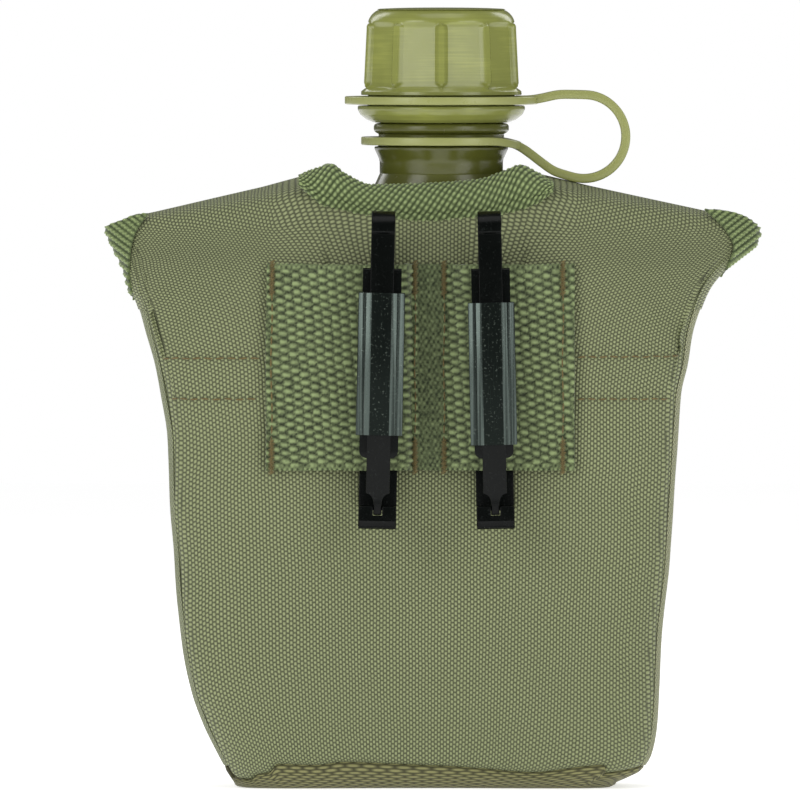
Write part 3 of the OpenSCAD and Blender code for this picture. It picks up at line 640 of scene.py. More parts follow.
def pile(name, colour):
    """Deep synthetic pile whose colour follows its tufts: painted shade down between them and painted
    highlight at their tips.
    """
    m = Material(name, roughness=0.95, specular=0.1, sheen=0.4)
    tufts = m.noise(700.0, 5.0, roughness=0.75)
    clumps = m.noise(160.0, 3.0)
    # The tufts' bump also sets their colour: painted shade low down, painted highlight at the tips.
    m.colour(m.mix(clumps, m.ramp(tufts, [(0.3, scaled(colour, 0.45)), (0.7, scaled(colour, 1.2))]),
                   scaled(colour, 0.9)))
    m.bump(m.math("ADD", tufts, clumps), 0.0012, 1.0)
    return m.made


def hooks(name, colour):
    """Hook-and-loop tape: a close field of tiny stiff bristles."""
    m = Material(name, roughness=0.8, specular=0.2)
    u, v = m.weave_place()
    dots = m.checker_bumps(u, v, 1.2 * MM, 1.2 * MM)
    fuzz = m.noise(1900.0, 3.0)
    m.colour(m.mix(fuzz, m.ramp(dots, [(0.2, scaled(colour, 0.5)), (0.9, scaled(colour, 1.5))]),
                   scaled(colour, 0.8)))
    m.bump(m.math("ADD", dots, fuzz), 0.0004, 0.9)
    return m.made


OLIVE_CLOTH = nylon("olive_nylon", srgb(119, 125, 90))
# A paler copy of the olive nylon for the right gusset only: painted light along that edge.
RIGHT_GUSSET_PAINTED_LIGHT = nylon("side_nylon_painted_light", srgb(136, 139, 103))
BOTTOM_CLOTH = nylon("bottom_nylon", srgb(109, 108, 71), contrast=1.1)
# Each tape's first colour is painted shade for its hollows, its second painted highlight for its loops.
TAPE = woven_tape("green_tape", srgb(50, 64, 30), srgb(156, 174, 116))
TIP_TAPE = woven_tape("tip_tape", srgb(48, 62, 32), srgb(150, 168, 110))
WEBBING = woven_tape("green_webbing", srgb(16, 24, 8), srgb(142, 158, 108))
BOTTLE_PLASTIC = moulded("bottle_plastic", srgb(84, 87, 34), 0.24, 0.10)
CAP_PLASTIC = moulded("cap_plastic", srgb(129, 134, 68), 0.22, 0.05, specular=0.6, highlight_streaks=0.3)
BAND_PLASTIC = moulded("band_plastic", srgb(146, 150, 90), 0.3, 0.05)
BLACK_STEEL = steel("black_steel", srgb(4, 6, 5), 0.24, srgb(36, 40, 38), specular=0.16)
SLEEVE_STEEL = steel("sleeve_steel", srgb(14, 18, 16), 0.24, srgb(96, 104, 96), specular=1.0, streaks=True)
BLACK_ENAMEL = steel("black_enamel", srgb(16, 17, 17), 0.3, srgb(60, 60, 58))
BROWN_THREAD = thread("brown_thread", srgb(108, 94, 52))
GREEN_THREAD = thread("green_thread", srgb(104, 104, 62))
PILE = pile("tan_pile", srgb(160, 150, 118))
HOOK_TAPE = hooks("hook_tape", srgb(72, 80, 56))
RUBBER = moulded("seal_rubber", srgb(30, 30, 29), 0.6, 0.2)


def finish_piece(obj, material, body=None, blend=None, replaces=()):
    """Gives a piece its material and its body, or with blend only bakes its place into its points, and hides
    the CAD nodes it stands for.
    """
    obj.data.materials.clear()
    obj.data.materials.append(material)
    if blend:
        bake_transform(obj)
    else:
        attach(obj, body)
    if replaces:
        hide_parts(*replaces)
    return obj


def set_raised(obj, heights):
    """Stores how far each point of a woven piece stands out, from 0 to 1, for its material."""
    layer = obj.data.attributes.new("raised", "FLOAT", "POINT")
    layer.data.foreach_set("value", np.asarray(heights, np.float32))


INNER_FACE_HEIGHT = 0.3


def woven_sheet(build, surface, heights, thick, relief):
    """A sheet whose outer face carries a weave. heights is 0 to 1 for each point of the grid."""
    n = normals_of(surface)
    build.sheet(surface + n * (heights * relief)[..., None], surface - n * thick)
    return np.concatenate([heights.ravel(), INNER_FACE_HEIGHT * np.ones(heights.size)])


def checker(p, q, pitch_p, pitch_q):
    return 0.5 + 0.5 * np.cos(2 * math.pi * p / pitch_p) * np.cos(2 * math.pi * q / pitch_q)


TWILL_PITCH = 2.0


def twill(p, q):
    """Slanting rows of tape loops: p along the tape and q across it."""
    rows = 0.5 + 0.5 * np.cos(2 * math.pi * (p + 0.5 * q) / TWILL_PITCH)
    loops = 0.5 + 0.5 * np.cos(2 * math.pi * (q - 0.25 * p) / (TWILL_PITCH * 1.05))
    return rows ** 0.8 * (0.35 + 0.65 * loops)


# ---------------------------------------------------------------- the cover's cloth

SEAM = [[-60, 2.8], [-56.6, 2.8], [-54.3, 4.2], [-49.9, 4.9], [-46, 7.3], [-35.3, 7.0], [-26.7, 7.8],
        [-13.8, 7.3], [6.3, 6.4], [26.4, 4.9], [38, 6.6], [42.3, 7.0], [44.8, 4.8], [48, 5.2],
        [56.8, 7.3], [64, 7.3]]


def seam_height(x, side):
    """Height of the puckered seam round the bottom. side is -1 on the belt side."""
    if side < 0:
        return curve_at(x, SEAM)
    return 6.6 + 0.7 * ripple(x, 0, 0, 9.0, 3.3)


def drift(x, y, z):
    """How far the filled cloth stands off its ideal skin, mostly inward."""
    broad = ripple(x, y, z, 34.0, 1.7)
    small = ripple(x, y, z, 13.0, 8.1)
    return 0.45 * broad + 0.22 * small - 0.35


# Soft folds of the back panel: x, z, half length, half width, lean in degrees and depth.
FOLDS = [(67, 141, 16, 3.4, -38, 1.6), (72, 131, 14, 2.6, -24, 1.0), (-68, 132, 15, 3.0, 30, 0.9),
         (-58, 22, 20, 4.0, 62, 0.8), (57, 20, 18, 4.0, -60, 0.8), (-20, 60, 34, 9.0, 70, 0.5),
         (52, 84, 26, 6.0, -75, 0.5), (-54, 96, 24, 6.0, 80, 0.5)]


def dents(x, z):
    """The inward dip of the folds at a point of the back panel."""
    dip = 0.0
    for fx, fz, long, wide, lean, depth in FOLDS:
        a = math.radians(lean)
        dx, dz = x - COVER_X - fx, z - fz
        along = (dx * math.sin(a) + dz * math.cos(a)) / long
        across = (dx * math.cos(a) - dz * math.sin(a)) / wide
        if abs(along) < 2.5 and abs(across) < 3.5:
            dip -= depth * math.exp(-along * along * 1.2 - across * across)
            dip += 0.5 * depth * math.exp(-along * along * 1.2 - (abs(across) - 1.9) ** 2)
    return dip


def panel_column(share, top, rows):
    """One column of the back panel, from the tuck at the bottom seam to its top."""
    seam = seam_height(panel_point(share, 5.0)[0], -1)
    heights = np.concatenate([[seam - 0.3, seam + 0.2, seam + 0.9, seam + 2.0],
                              np.linspace(seam + 3.6, top, rows - 4)])
    tuck = [-1.5, -0.5, 0.05, 0.15] + [0.0] * (rows - 4)
    out = []
    for z, inward in zip(heights, tuck):
        x, y, _ = panel_point(share, z)
        fade = min(1.0, max(0.0, (z - seam - 3) / 12), max(0.0, (top - z) / 8))
        folded = dents(x, z) * (1 - abs(share) ** 5)
        sag = drift(x, y, z) * lerp(1, 0.7, share ** 8) + folded
        out.append(panel_point(share, z, inward + sag * fade))
    return np.array(out)


def shoulder_line(u):
    """The cloth from the back panel's top over the shoulder and down the flap, on the right side.

    Returns the line, and the indices of its points at the panel's top and at the top of the ridge."""
    x = lerp(CREST_IN, CREST_OUT, u)
    top = crest(x) - crest_rise(x)
    share = share_through(x, top)
    back = [panel_point(share, z) for z in np.linspace(top - 26, top, 14)]
    y0 = back[-1][1]
    over = [(COVER_X + x, lerp(y0, fold_y(x), v), crest(x) - crest_rise(x) * (2 * v - 1) ** 2
             * (1 if v < 0.5 else 1.5) + 0.9) for v in np.linspace(0.06, 1, 18)]
    down = [flap_point(u, v, CLOTH_T) for v in np.linspace(0.03, 1, 34)]
    line = soften(back + over + down, 0.8, 10)
    length = lambda pts: np.linalg.norm(np.diff(np.array(pts), axis=0), axis=1).sum()
    before = int(round(length(back) / 0.8))
    ridge = int(round(length(back + over[:9]) / 0.8))
    return line, before, ridge


def cloth_uv(grid, stretch=0.5):
    """Weave place for the upright cloth, whose rows turn to run along the crest near the shoulders."""
    middle = grid[:, grid.shape[1] // 2, 0]
    u = lerp(grid[..., 0], middle[:, None] * np.ones(grid.shape[1]), stretch)
    v = np.concatenate([np.zeros((grid.shape[0], 1)),
                        np.cumsum(np.linalg.norm(np.diff(grid, axis=1), axis=2), axis=1)], axis=1)
    v = v - v[:, :1] + grid[:, :1, 2]
    x = grid[..., 0] - COVER_X
    away = np.clip(np.abs(x) - 12, 0, None)
    lift = np.clip((grid[..., 2] - 112) / 45, 0, 1) ** 1.5
    turn = 0.24 * lift * np.clip(away / 30, 0, 1)
    return np.stack([u - np.sign(x) * turn * (grid[..., 2] - 112), v + turn * away], axis=2) * MM


def back_cloth():
    """The belt-side panel, up over the ridge of each shoulder, and round each tip under its tape."""
    rows = 96
    inner_x = np.linspace(-CREST_IN, CREST_IN, 37)[1:-1]
    steps = np.linspace(0, 1, 34)
    tip_x = [84.7, 85.4, 86.1, 86.8]

    def shoulder_column(u, side):
        line, before, ridge = shoulder_line(u)
        x = lerp(CREST_IN, CREST_OUT, u)
        top = crest(x) - crest_rise(x)
        sign = -1 if side == "left" else 1
        share = share_through(x, top)
        lower = panel_column(sign * share, top - 20, rows - 20)
        near = np.array([panel_point(share, z) for z in (top - 26, top - 20)])
        start = int(round(np.linalg.norm(near[1] - near[0]) / 0.8))
        upper = mirrored(resample(line[start:before + 1], 21), side)
        over = mirrored(resample(line[before:ridge + 1], 12), side)
        return np.concatenate([lower, upper[1:]]), over

    def plain_column(x):
        top = back_top(x) + 3.0 * max(0.0, 1 - abs(x) / CREST_IN)
        return panel_column(min(1.0, max(-1.0, share_through(x, top))), top, rows)

    parts, ridges = {}, {}
    for side, sign in (("left", -1), ("right", 1)):
        made = [shoulder_column(u, side) for u in steps]
        parts[side] = [c for c, _ in made] + [plain_column(sign * x) for x in tip_x]
        ridges[side] = np.array([r for _, r in made])
    columns = np.array(parts["left"][::-1] + [plain_column(x) for x in inner_x] + parts["right"])
    build = Build()
    uv = cloth_uv(columns)
    build.cloth(columns, CLOTH_T, uv)
    for side in ("left", "right"):
        grid = ridges[side] if side == "right" else ridges[side][::-1]
        first = len(tip_x)
        rows_uv = uv[first:first + len(steps)] if side == "left" else uv[-first - len(steps):-first]
        run = np.cumsum(np.linalg.norm(np.diff(grid, axis=1, prepend=grid[:, :1]), axis=2), axis=1) * MM
        over_uv = np.stack([rows_uv[:, -1:, 0] * np.ones(grid.shape[1]), rows_uv[:, -1:, 1] + run], axis=2)
        build.cloth(grid, CLOTH_T, over_uv)
        tip = [[skin(a, lerp(GUSSET_TOP_Z - 2, crest(skin(a, 158)[0] - COVER_X) - 0.6, j), -0.1)
                for j in np.linspace(0, 1, 30)] for a in np.linspace(-EDGE_ANGLE - 1, EDGE_ANGLE + 2, 26)]
        grid = mirrored(tip, side)
        build.cloth(grid if side == "right" else grid[::-1], CLOTH_T, cloth_uv(grid))
    obj = build.make("back_cloth", sharp=50)
    finish_piece(obj, OLIVE_CLOTH, "root", replaces=["back_panel"])


def flap_bend(side):
    """The bodies either side of a flap's fold and its line on the front fold, at the middle of the shoulder;
    nothing here bends the cloth.
    """
    out = (CREST_IN + CREST_OUT) / 2
    middle = COVER_X + (-out if side == "left" else out)
    start = Vector((middle, 8.5, crest(out))) * MM
    end = Vector((middle, 17.0, crest(out) - 6)) * MM
    return "root", f"{side}_flap", start, end


def flap_cloth(side):
    """From the ridge of the shoulder over the front fold and down the flap, in one piece."""
    steps = np.linspace(0, 1, 34)
    grid = []
    for u in steps:
        line, _, ridge = shoulder_line(u)
        grid.append(resample(line[ridge:], 80))
    grid = mirrored(grid, side)
    if side == "left":
        grid = grid[::-1]
    build = Build()
    build.cloth(grid, CLOTH_T, cloth_uv(grid, 0.3))
    obj = build.make(f"{side}_flap_cloth", sharp=50)
    finish_piece(obj, OLIVE_CLOTH, blend=flap_bend(side),
                 replaces=[f"{side}_shoulder", f"{side}_flap"])


def skin_grid(angles, heights_at, out=0.0):
    """A grid of skin points with u along the section angle and v upward."""
    grid = []
    for angle in angles:
        line = []
        for z in heights_at(angle):
            x, y, _ = skin(angle, z)
            line.append(skin(angle, z, out + drift(x, y, z) * 0.7))
        grid.append(line)
    return np.array(grid)


def side_cloth(side):
    """The gusset between the back and front panels."""
    angles = np.linspace(-EDGE_ANGLE + 0.4, FRONT_ANGLE, 20)
    heights = lambda a: np.concatenate([[6.3, 6.8, 7.6, 9], np.linspace(11, GUSSET_TOP_Z, 70)])
    grid = mirrored(skin_grid(angles, heights), side)
    if side == "left":
        grid = grid[::-1]
    build = Build()
    build.cloth(grid, CLOTH_T)
    # The right gusset takes the paler copy of the olive nylon, painted light along that edge.
    cloth, slot = (OLIVE_CLOTH, "cover_nylon") if side == "left" else (RIGHT_GUSSET_PAINTED_LIGHT, "gusset_nylon")
    finish_piece(build.make(f"{side}_gusset_cloth", 50), cloth, "root", replaces=[f"{side}_gusset"])


def front_cloth():
    angles = np.linspace(FRONT_ANGLE + 0.4, 180 - FRONT_ANGLE - 0.4, 70)
    heights = lambda a: np.concatenate([[6.3, 6.8, 7.6, 9], np.linspace(11, FRONT_TOP_Z, 80)])
    grid = skin_grid(angles, heights, -0.1)
    build = Build()
    build.cloth(grid, CLOTH_T)
    finish_piece(build.make("front_cloth", 50), OLIVE_CLOTH, "root",
                 replaces=["front_panel"])


def ring_at(z_at, out, count=220):
    """A closed ring of the cover's skin whose height may vary round it."""
    ring = []
    for k in range(count):
        a = -180 + 360 * k / count
        side = -1 if a < 0 else 1
        foot = skin(a, 5.0)
        z = z_at(foot[0], side)
        ring.append(column(math.cos(math.radians(a)), max(z, 0), side, out)[:2] + (z,))
    return ring


def bottom_cloth():
    """The browner bottom piece: tucked in at the puckered seam, bulging below it, with creases."""
    levels = [(1.0, -1.5), (0.93, -0.6), (0.8, 0.15), (0.62, 0.6), (0.42, 0.45), (0.22, 0.1),
              (0.08, -0.4), (0.0, -1.6)]
    rings = []
    for share, out in levels:
        ring = np.array(ring_at(lambda x, s: seam_height(x, s) * share + 0.05, out))
        for p in ring:
            crease = math.exp(-((p[0] - (7.2 + 0.28 * p[2])) / 1.1) ** 2)
            crease += 0.7 * math.exp(-((p[0] - (42.0 + 0.5 * p[2])) / 1.0) ** 2)
            gather = 0.6 * ripple(p[0], p[1], p[2] * 0.6, 4.0, 5.5)
            inward = (1.1 * crease * (share < 0.95) * (share > 0.05)) + abs(gather) * 0.9
            centre = np.array([COVER_X, COVER_MID_Y])
            away = p[:2] - centre
            p[:2] -= away / np.linalg.norm(away) * inward
        rings.append(ring)
    outline = rings[-1]
    turn = np.radians(-180 + 360 * np.arange(len(outline)) / len(outline))
    drain = np.stack([COVER_X + 4.1 * np.cos(turn), 11.0 + 4.1 * np.sin(turn), 0 * turn], axis=1)
    for share, z in ((0.9, 0.0), (0.6, 0.1), (0.3, 0.15), (0.0, 0.2), (0.0, 1.6), (0.3, 1.6), (0.6, 1.5),
                     (0.9, 1.4)):
        ring = drain + (outline - drain) * share
        ring[:, 2] = z
        rings.append(ring)
    for share, out in ((0.1, -2.8), (0.5, -2.0), (1.0, -2.7)):
        rings.append(np.array(ring_at(lambda x, s: max(seam_height(x, s) * share, 1.3), out)))
    build = Build()
    build.loft(np.array(rings + [rings[0]]), close=False)
    obj = build.make("bottom_cloth", 50)
    finish_piece(obj, BOTTOM_CLOTH, "root", replaces=["bottom_panel"])


def lining():
    """Pile inside the cover, a closed sleeve with a rolled upper rim and a floor."""
    outer, inner = [], []
    heights = np.concatenate([[2.6, 4.5], np.linspace(7, 134, 46)])
    for z in heights:
        outer.append(np.array(ring_at(lambda x, s: z, -CLOTH_T - 0.5, 160)))
    for z in heights[::-1]:
        ring = np.array(ring_at(lambda x, s: max(z, 4.0), -CLOTH_T - 0.5 - 1.6, 160))
        for p in ring:
            inward = 0.25 * ripple(p[0], p[1], p[2], 3.0, 2.2)
            away = p[:2] - np.array([COVER_X, COVER_MID_Y])
            p[:2] -= away / np.linalg.norm(away) * inward
        inner.append(ring)
    build = Build()
    build.loft(np.array(outer + inner))
    finish_piece(build.make("pile_lining_cloth", 60), PILE, "root",
                 replaces=["pile_lining"])


# ---------------------------------------------------------------- tapes and bindings

BAND_TOP = [[-35.5, 171.3], [-31.6, 173.0], [-26.1, 174.3], [-22.7, 172.0], [-15, 168.8], [0, 169.2],
            [15, 170.3], [22, 172.6], [26.4, 174.2], [31, 172.4], [35.9, 169.2]]
BAND_LOW = [[-35.5, 169.4], [-31.6, 165.6], [-29, 163.5], [-22.7, 161.8], [-15, 159.8], [0, 158.4],
            [15, 159.2], [25, 161.5], [31, 163.8], [35.9, 167.4]]


def neck_band():
    """The wide tape folded over the edge behind the neck, draped onto the shoulder at each end."""
    nu, nv = 330, 84
    rows = []
    for u in np.linspace(0, 1, nu):
        x = lerp(-35.4, 35.8, u)
        low, high = curve_at(x, BAND_LOW), curve_at(x, BAND_TOP)
        middle, half = (low + high) / 2, (high - low) / 2
        y = skin_y(x, min(middle, 166), -1, 0) - 0.2 * ripple(x, 0, 0, 6.0, 4.4)
        line = []
        for a in np.linspace(-108, 195, nv):
            t = math.radians(a)
            rise = math.sin(t)
            crease = math.exp(-((rise + 0.52) / 0.10) ** 2) * (a < 90)
            lump = 0.5 * ripple(x, rise * 3, 0, 5.0, 9.2)
            lean = 2.6 * max(0.0, rise) ** 2 * (abs(x) < 40)
            bulge = (1.7 + lump) * math.copysign(abs(math.cos(t)) ** 0.6, math.cos(t)) - 0.55 * crease
            line.append((COVER_X + x, y - bulge + lean - 0.2, middle + half * rise))
        rows.append(line)
    surface = np.array(rows)
    uv = grid_uv(surface) / MM
    p, q = uv[..., 0], uv[..., 1]
    ribs = 0.5 + 0.5 * np.cos(2 * math.pi * (p - 0.75 * q) / 1.75)
    loops = 0.5 + 0.5 * np.cos(2 * math.pi * (q + 0.55 * p) / 1.9)
    heights = ribs ** 0.8 * (0.3 + 0.7 * loops ** 0.7)
    build = Build()
    raised = woven_sheet(build, surface, heights, 0.7, 0.5)
    obj = build.make("neck_tape", 75)
    set_raised(obj, raised)
    finish_piece(obj, TAPE, "root", replaces=["neck_binding"])


def rolled_tape(name, path, radius, material, body=None, blend=None, replaces=(), flat=1.0, sides=40,
                relief=0.4, up=(0.0, -0.6, 0.8)):
    """A bound edge: tape rolled into a tube along the path, with its loops as geometry."""
    path = soften(path, 0.55, 6)
    side, top = frames(path, up)
    run = np.concatenate([[0], np.cumsum(np.linalg.norm(np.diff(path, axis=0), axis=1))])
    angle = np.linspace(0, 2 * math.pi, sides, endpoint=False)
    turns = max(3, round(2 * math.pi * radius / TWILL_PITCH))
    across = angle / (2 * math.pi) * turns * TWILL_PITCH
    heights = twill(run[:, None], across[None])
    ends = np.clip(np.minimum(run, run[-1] - run) / (radius * 0.8), 0, 1)
    r = (radius * np.sqrt(1 - (1 - ends) ** 2) + 0.05)[:, None] + heights * relief
    rings = (path[:, None] + (r * np.cos(angle))[..., None] * side[:, None]
             + (r * np.sin(angle) * flat)[..., None] * top[:, None])
    build = Build()
    build.loft(rings)
    obj = build.make(name, 80)
    set_raised(obj, heights.ravel())
    finish_piece(obj, material, body, blend, replaces)


def shoulder_roll(side):
    """The thick rolled tape on a shoulder's inner edge, beside the neck."""
    radius = 3.0 if side == "left" else 2.6
    path = []
    for v in np.linspace(0, 1, 30):
        z = crest(CREST_IN) - crest_rise(CREST_IN) * (2 * v - 1) ** 2 - 0.2
        path.append((COVER_X + CREST_IN - 2.0, lerp(-20, fold_y(CREST_IN) - 0.5, v), z))
    rolled_tape(f"{side}_shoulder_roll", mirrored(path, side), radius, TAPE, "root",
                replaces=[f"{side}_shoulder_binding"])


TIP_INNER = {"left": [[136.5, 82.0], [138.3, 82.2], [143.9, 83.1], [149.4, 82.8], [155, 81.4], [161, 77.6]],
             "right": [[143, 83.0], [145, 84.2], [151.4, 86.4], [156.1, 84.2], [162, 78.2]]}
TIP_TOP = {"left": [[77, 161.0], [81.4, 160.2], [84.7, 158.9], [89, 157.2], [90.4, 155.6]],
           "right": [[77, 162.2], [85, 161.2], [88.7, 160.2], [92, 158.2], [94.4, 155.4]]}


def tip_tape(side):
    """The tape folded round a shoulder's pointed tip, over both faces of the cloth."""
    inner, top_line = TIP_INNER[side], TIP_TOP[side]
    outline = LEFT_OUTLINE if side == "left" else RIGHT_OUTLINE
    z_low = inner[0][0]
    nu, nv = 96, 90
    rows = []
    for j in np.linspace(0, 1, nv):
        row = []
        for i in np.linspace(-1, 0.9, nu):
            z = lerp(z_low, 158, j)
            for _ in range(4):
                width, n = curve_at(z, outline), curve_at(z, SQUARENESS)
                start = math.degrees(math.acos(min(1.0, curve_at(z, inner) / width) ** (n / 2)))
                c = math.cos(math.radians(start * i)) ** (2 / n)
                z = lerp(z_low, curve_at(width * c, top_line), j)
            s = math.copysign(abs(math.sin(math.radians(start * i))) ** (2 / n), i)
            depth = curve_at(z, HALF_DEPTHS) * s
            y = COVER_MID_Y + depth - curve_at(z, BEND) * c * c
            row.append((COVER_X + (width + 0.1) * c, y + 0.9 * math.copysign(min(1, abs(i) * 3), i), z))
        rows.append(row)
    surface = mirrored(np.array(rows).transpose(1, 0, 2), side)
    if side == "left":
        surface = surface[::-1]
    across = np.abs(surface[..., 0] - COVER_X)
    place = (surface[..., 2] - 0.75 * (across - 80)) / 1.9
    strand = 0.5 + 0.5 * np.cos(2 * math.pi * place)
    twist = 0.5 + 0.5 * np.cos(2 * math.pi * ((across + 0.9 * surface[..., 2]) / 1.5 + np.floor(place) * 0.4))
    ribs = strand ** 0.7 * (0.5 + 0.5 * twist)
    build = Build()
    raised = woven_sheet(build, surface, ribs, 0.5, 0.7)
    obj = build.make(f"{side}_tip_tape", 75, settle=False)
    set_raised(obj, raised)
    finish_piece(obj, TIP_TAPE, "root", replaces=[f"{side}_tip_binding"])


def flap_tape(side):
    """Binding round a flap's two sides and its lower edge."""
    reach = 0.6
    line = []
    for v in np.linspace(0.02, 0.98, 30):
        line.append(flap_point(0, v, CLOTH_T / 2, (-reach, 0)))
    for u in np.linspace(0.0, 1.0, 40):
        line.append(flap_point(u, 1, CLOTH_T / 2, (0, -reach)))
    for v in np.linspace(0.98, 0.02, 30):
        line.append(flap_point(1, v, CLOTH_T / 2, (reach, 0)))
    rolled_tape(f"{side}_flap_tape", mirrored(line, side), 1.35, TAPE,
                blend=flap_bend(side), replaces=[f"{side}_flap_binding"],
                flat=0.8, sides=24, relief=0.28, up=(0.0, 1.0, 0.05))


def front_tape():
    """Binding along the front panel's upper edge, under the flaps."""
    line = [skin(a, FRONT_TOP_Z + 1.2, -0.4) for a in np.linspace(FRONT_ANGLE + 1, 179 - FRONT_ANGLE, 60)]
    rolled_tape("front_edge_tape", line, 1.3, TAPE, "root", replaces=["front_binding"], sides=24,
                relief=0.28, up=(0.0, 0.1, 1.0))


# ---------------------------------------------------------------- the webbing patch

def tunnel_lift(x):
    left, right = (abs(x - (CLIPS[s] - COVER_X)) for s in ("left", "right"))
    wide_left = 28 if x < CLIPS["left"] - COVER_X else 9
    wide_right = 12 if x < CLIPS["right"] - COVER_X else 19
    return max(1 - ease((left - 7) / (wide_left - 7)), 1 - ease((right - 7) / (wide_right - 7)))


def webbing_y(x, z, out=0.0):
    return lerp(skin_y(x, z, -1, 0) - 0.45, TUNNEL_Y, tunnel_lift(x)) - out


def webbing():
    """Coarse webbing, sewn flat at four upright lines and lifted over the clips' legs."""
    nu, nv = 262, 180
    xs = np.linspace(WEB_X[0], WEB_X[1], nu)
    zs = np.linspace(WEB_Z, WEB_Z + WEB_W, nv)
    surface = np.zeros((nu, nv, 3))
    for i, x in enumerate(xs):
        for j, z in enumerate(zs):
            edge = 0.25 * ripple(x, 0, z, 3.0, 1.1)
            surface[i, j] = (COVER_X + x + (edge if j in (0, nv - 1) else 0), webbing_y(x, z, WEB_T - 0.45),
                             z + (edge if j in (0, nv - 1) else 0))
    stir = np.array([[ripple(x, 0, z, 2.4, 6.1) for z in zs[::4]] for x in xs[::4]])
    stir = np.kron(stir, np.ones((4, 4)))[:nu, :nv]
    p = xs[:, None] + 0.12 * np.sin(zs[None] / 3.1) + 0.30 * stir
    q = zs[None] + 0.10 * np.sin(xs[:, None] / 2.3) + 0.14 * stir
    p = p + 0.09 * (q - WEB_Z)
    column = np.floor(p / WEB_COLUMN)
    across = p / WEB_COLUMN - column
    loops = 0.5 + 0.5 * np.cos(2 * math.pi * (q / WEB_ROW + 0.5 * column + 0.08 * (across - 0.5)))
    weave = np.clip(1.25 * np.sin(math.pi * across), 0, 1) ** 0.5 * (0.12 + 0.88 * loops ** 1.3)
    small = 0.5 + 0.5 * np.cos(2 * math.pi * (q / WEB_ROW + 0.5 * column + 0.5))
    weave = np.maximum(weave, 0.62 * small ** 3 * np.abs(np.cos(math.pi * across)) ** 6)
    weave = weave * (1 - 0.34 * np.clip(across * 1.6 - 0.5, 0, 1))
    plain = checker(p, q, 1.4, WEB_ROW)
    edge = np.clip((np.minimum(zs - zs[0], zs[-1] - zs) / 2.2), 0, 1)[None]
    middle = ((xs > -2.4) & (xs < 5.0))[:, None] * np.ones(nv)[None]
    weave = weave * edge + plain * (1 - edge) * 0.8
    weave = lerp(weave, plain * 0.45, middle * 0.8)
    grain = rng.random((nu, nv)) * 0.12
    heights = np.clip(weave * (1.0 + 0.5 * stir) + grain, 0, 1)
    build = Build()
    n = normals_of(surface)
    if n[0, 0, 1] > 0:
        n = -n
    build.sheet(surface + n * (heights * 0.75)[..., None], surface - n * (WEB_T - 0.5))
    obj = build.make("webbing_patch", 80)
    set_raised(obj, np.concatenate([heights.ravel(), INNER_FACE_HEIGHT * np.ones(heights.size)]))
    finish_piece(obj, WEBBING, "root", replaces=["belt_webbing"])


SEWN_LINES = [-42.8, -2.9, 5.2, 38.4]


def webbing_thread():
    """The upright seams that hold the webbing, each with a dense bar tack at both ends."""
    build = Build()
    for x in SEWN_LINES:
        line = [(COVER_X + x + 0.15 * math.sin(z / 4), webbing_y(x, z, WEB_T + 0.42), z)
                for z in np.linspace(WEB_Z + 1.0, WEB_Z + WEB_W - 1.0, 60)]
        stitches(build, line, 3.1, 2.4, 0.24)
        for low, high in ((WEB_Z - 1.0, WEB_Z + 8.5), (WEB_Z + WEB_W - 8.5, WEB_Z + WEB_W + 1.0)):
            for k in range(22):
                z = lerp(low, high, (k + 0.5) / 22)
                wide = 0.75 + 0.2 * math.sin(k * 2.1)
                inside = min(max(z, WEB_Z), WEB_Z + WEB_W)
                y = webbing_y(x, inside, WEB_T + 0.4)
                bar = [(COVER_X + x - wide, y, z - 0.35), (COVER_X + x, y - 0.25, z),
                       (COVER_X + x + wide, y, z + 0.35)]
                build.loft(tube_rings(resample(bar, 5), [0.08, 0.15, 0.18, 0.15, 0.08], 6,
                                      up=(0.0, -1.0, 0.2)))
    finish_piece(build.make("webbing_thread", 60), BROWN_THREAD, "root")


def cover_thread():
    """Two brown rows across the back panel, each broken by the webbing."""
    build = Build()
    for z, slope in ((120.9, 0.004), (109.3, 0.0)):
        for x0, x1 in ((-74.5, -45.6), (42.6, 73.2)):
            reach = 0.955 * curve_at(z, HALF_WIDTHS)
            xs = np.linspace(max(x0, -reach), min(x1, reach), 40)
            row = [(COVER_X + x, skin_y(x, z + slope * x, -1, 0.28), z + slope * x + 0.12 * math.sin(x))
                   for x in xs]
            stitches(build, row, 3.1, 2.3, 0.27)
    finish_piece(build.make("cover_thread", 60), BROWN_THREAD, "root")


# ---------------------------------------------------------------- the pocket

def pocket_out(u, v):
    return 0.6 + 9 * (1 - abs(2 * u - 1) ** 3.5) * (1 - (1 - v) ** 3.5)


def pocket_point(u, v, out=0.0):
    x, z = 58 * (u - 0.5), 40 + 58 * v
    return (COVER_X + x, skin_y(x, z, 1, pocket_out(u, v) + out), z)


POCKET_FLAP_OUT = [[0, 1.2], [0.12, 5.5], [0.25, 9.6], [0.4, 11.9], [1, 12.3]]
POCKET_FLAP_Z = [[0, 5], [0.12, 5.2], [0.25, 3.8], [0.4, -0.5], [1, -28]]


def pocket_flap_point(u, v, out=0.0):
    x = 61 * (u - 0.5)
    z = 98 + straight_at(v, POCKET_FLAP_Z)
    return (COVER_X + x, skin_y(x, z, 1, straight_at(v, POCKET_FLAP_OUT) + out), z)


def surface_grid(point, nu, nv, *more):
    return np.array([[point(u, v, *more) for v in np.linspace(0, 1, nv)] for u in np.linspace(0, 1, nu)])


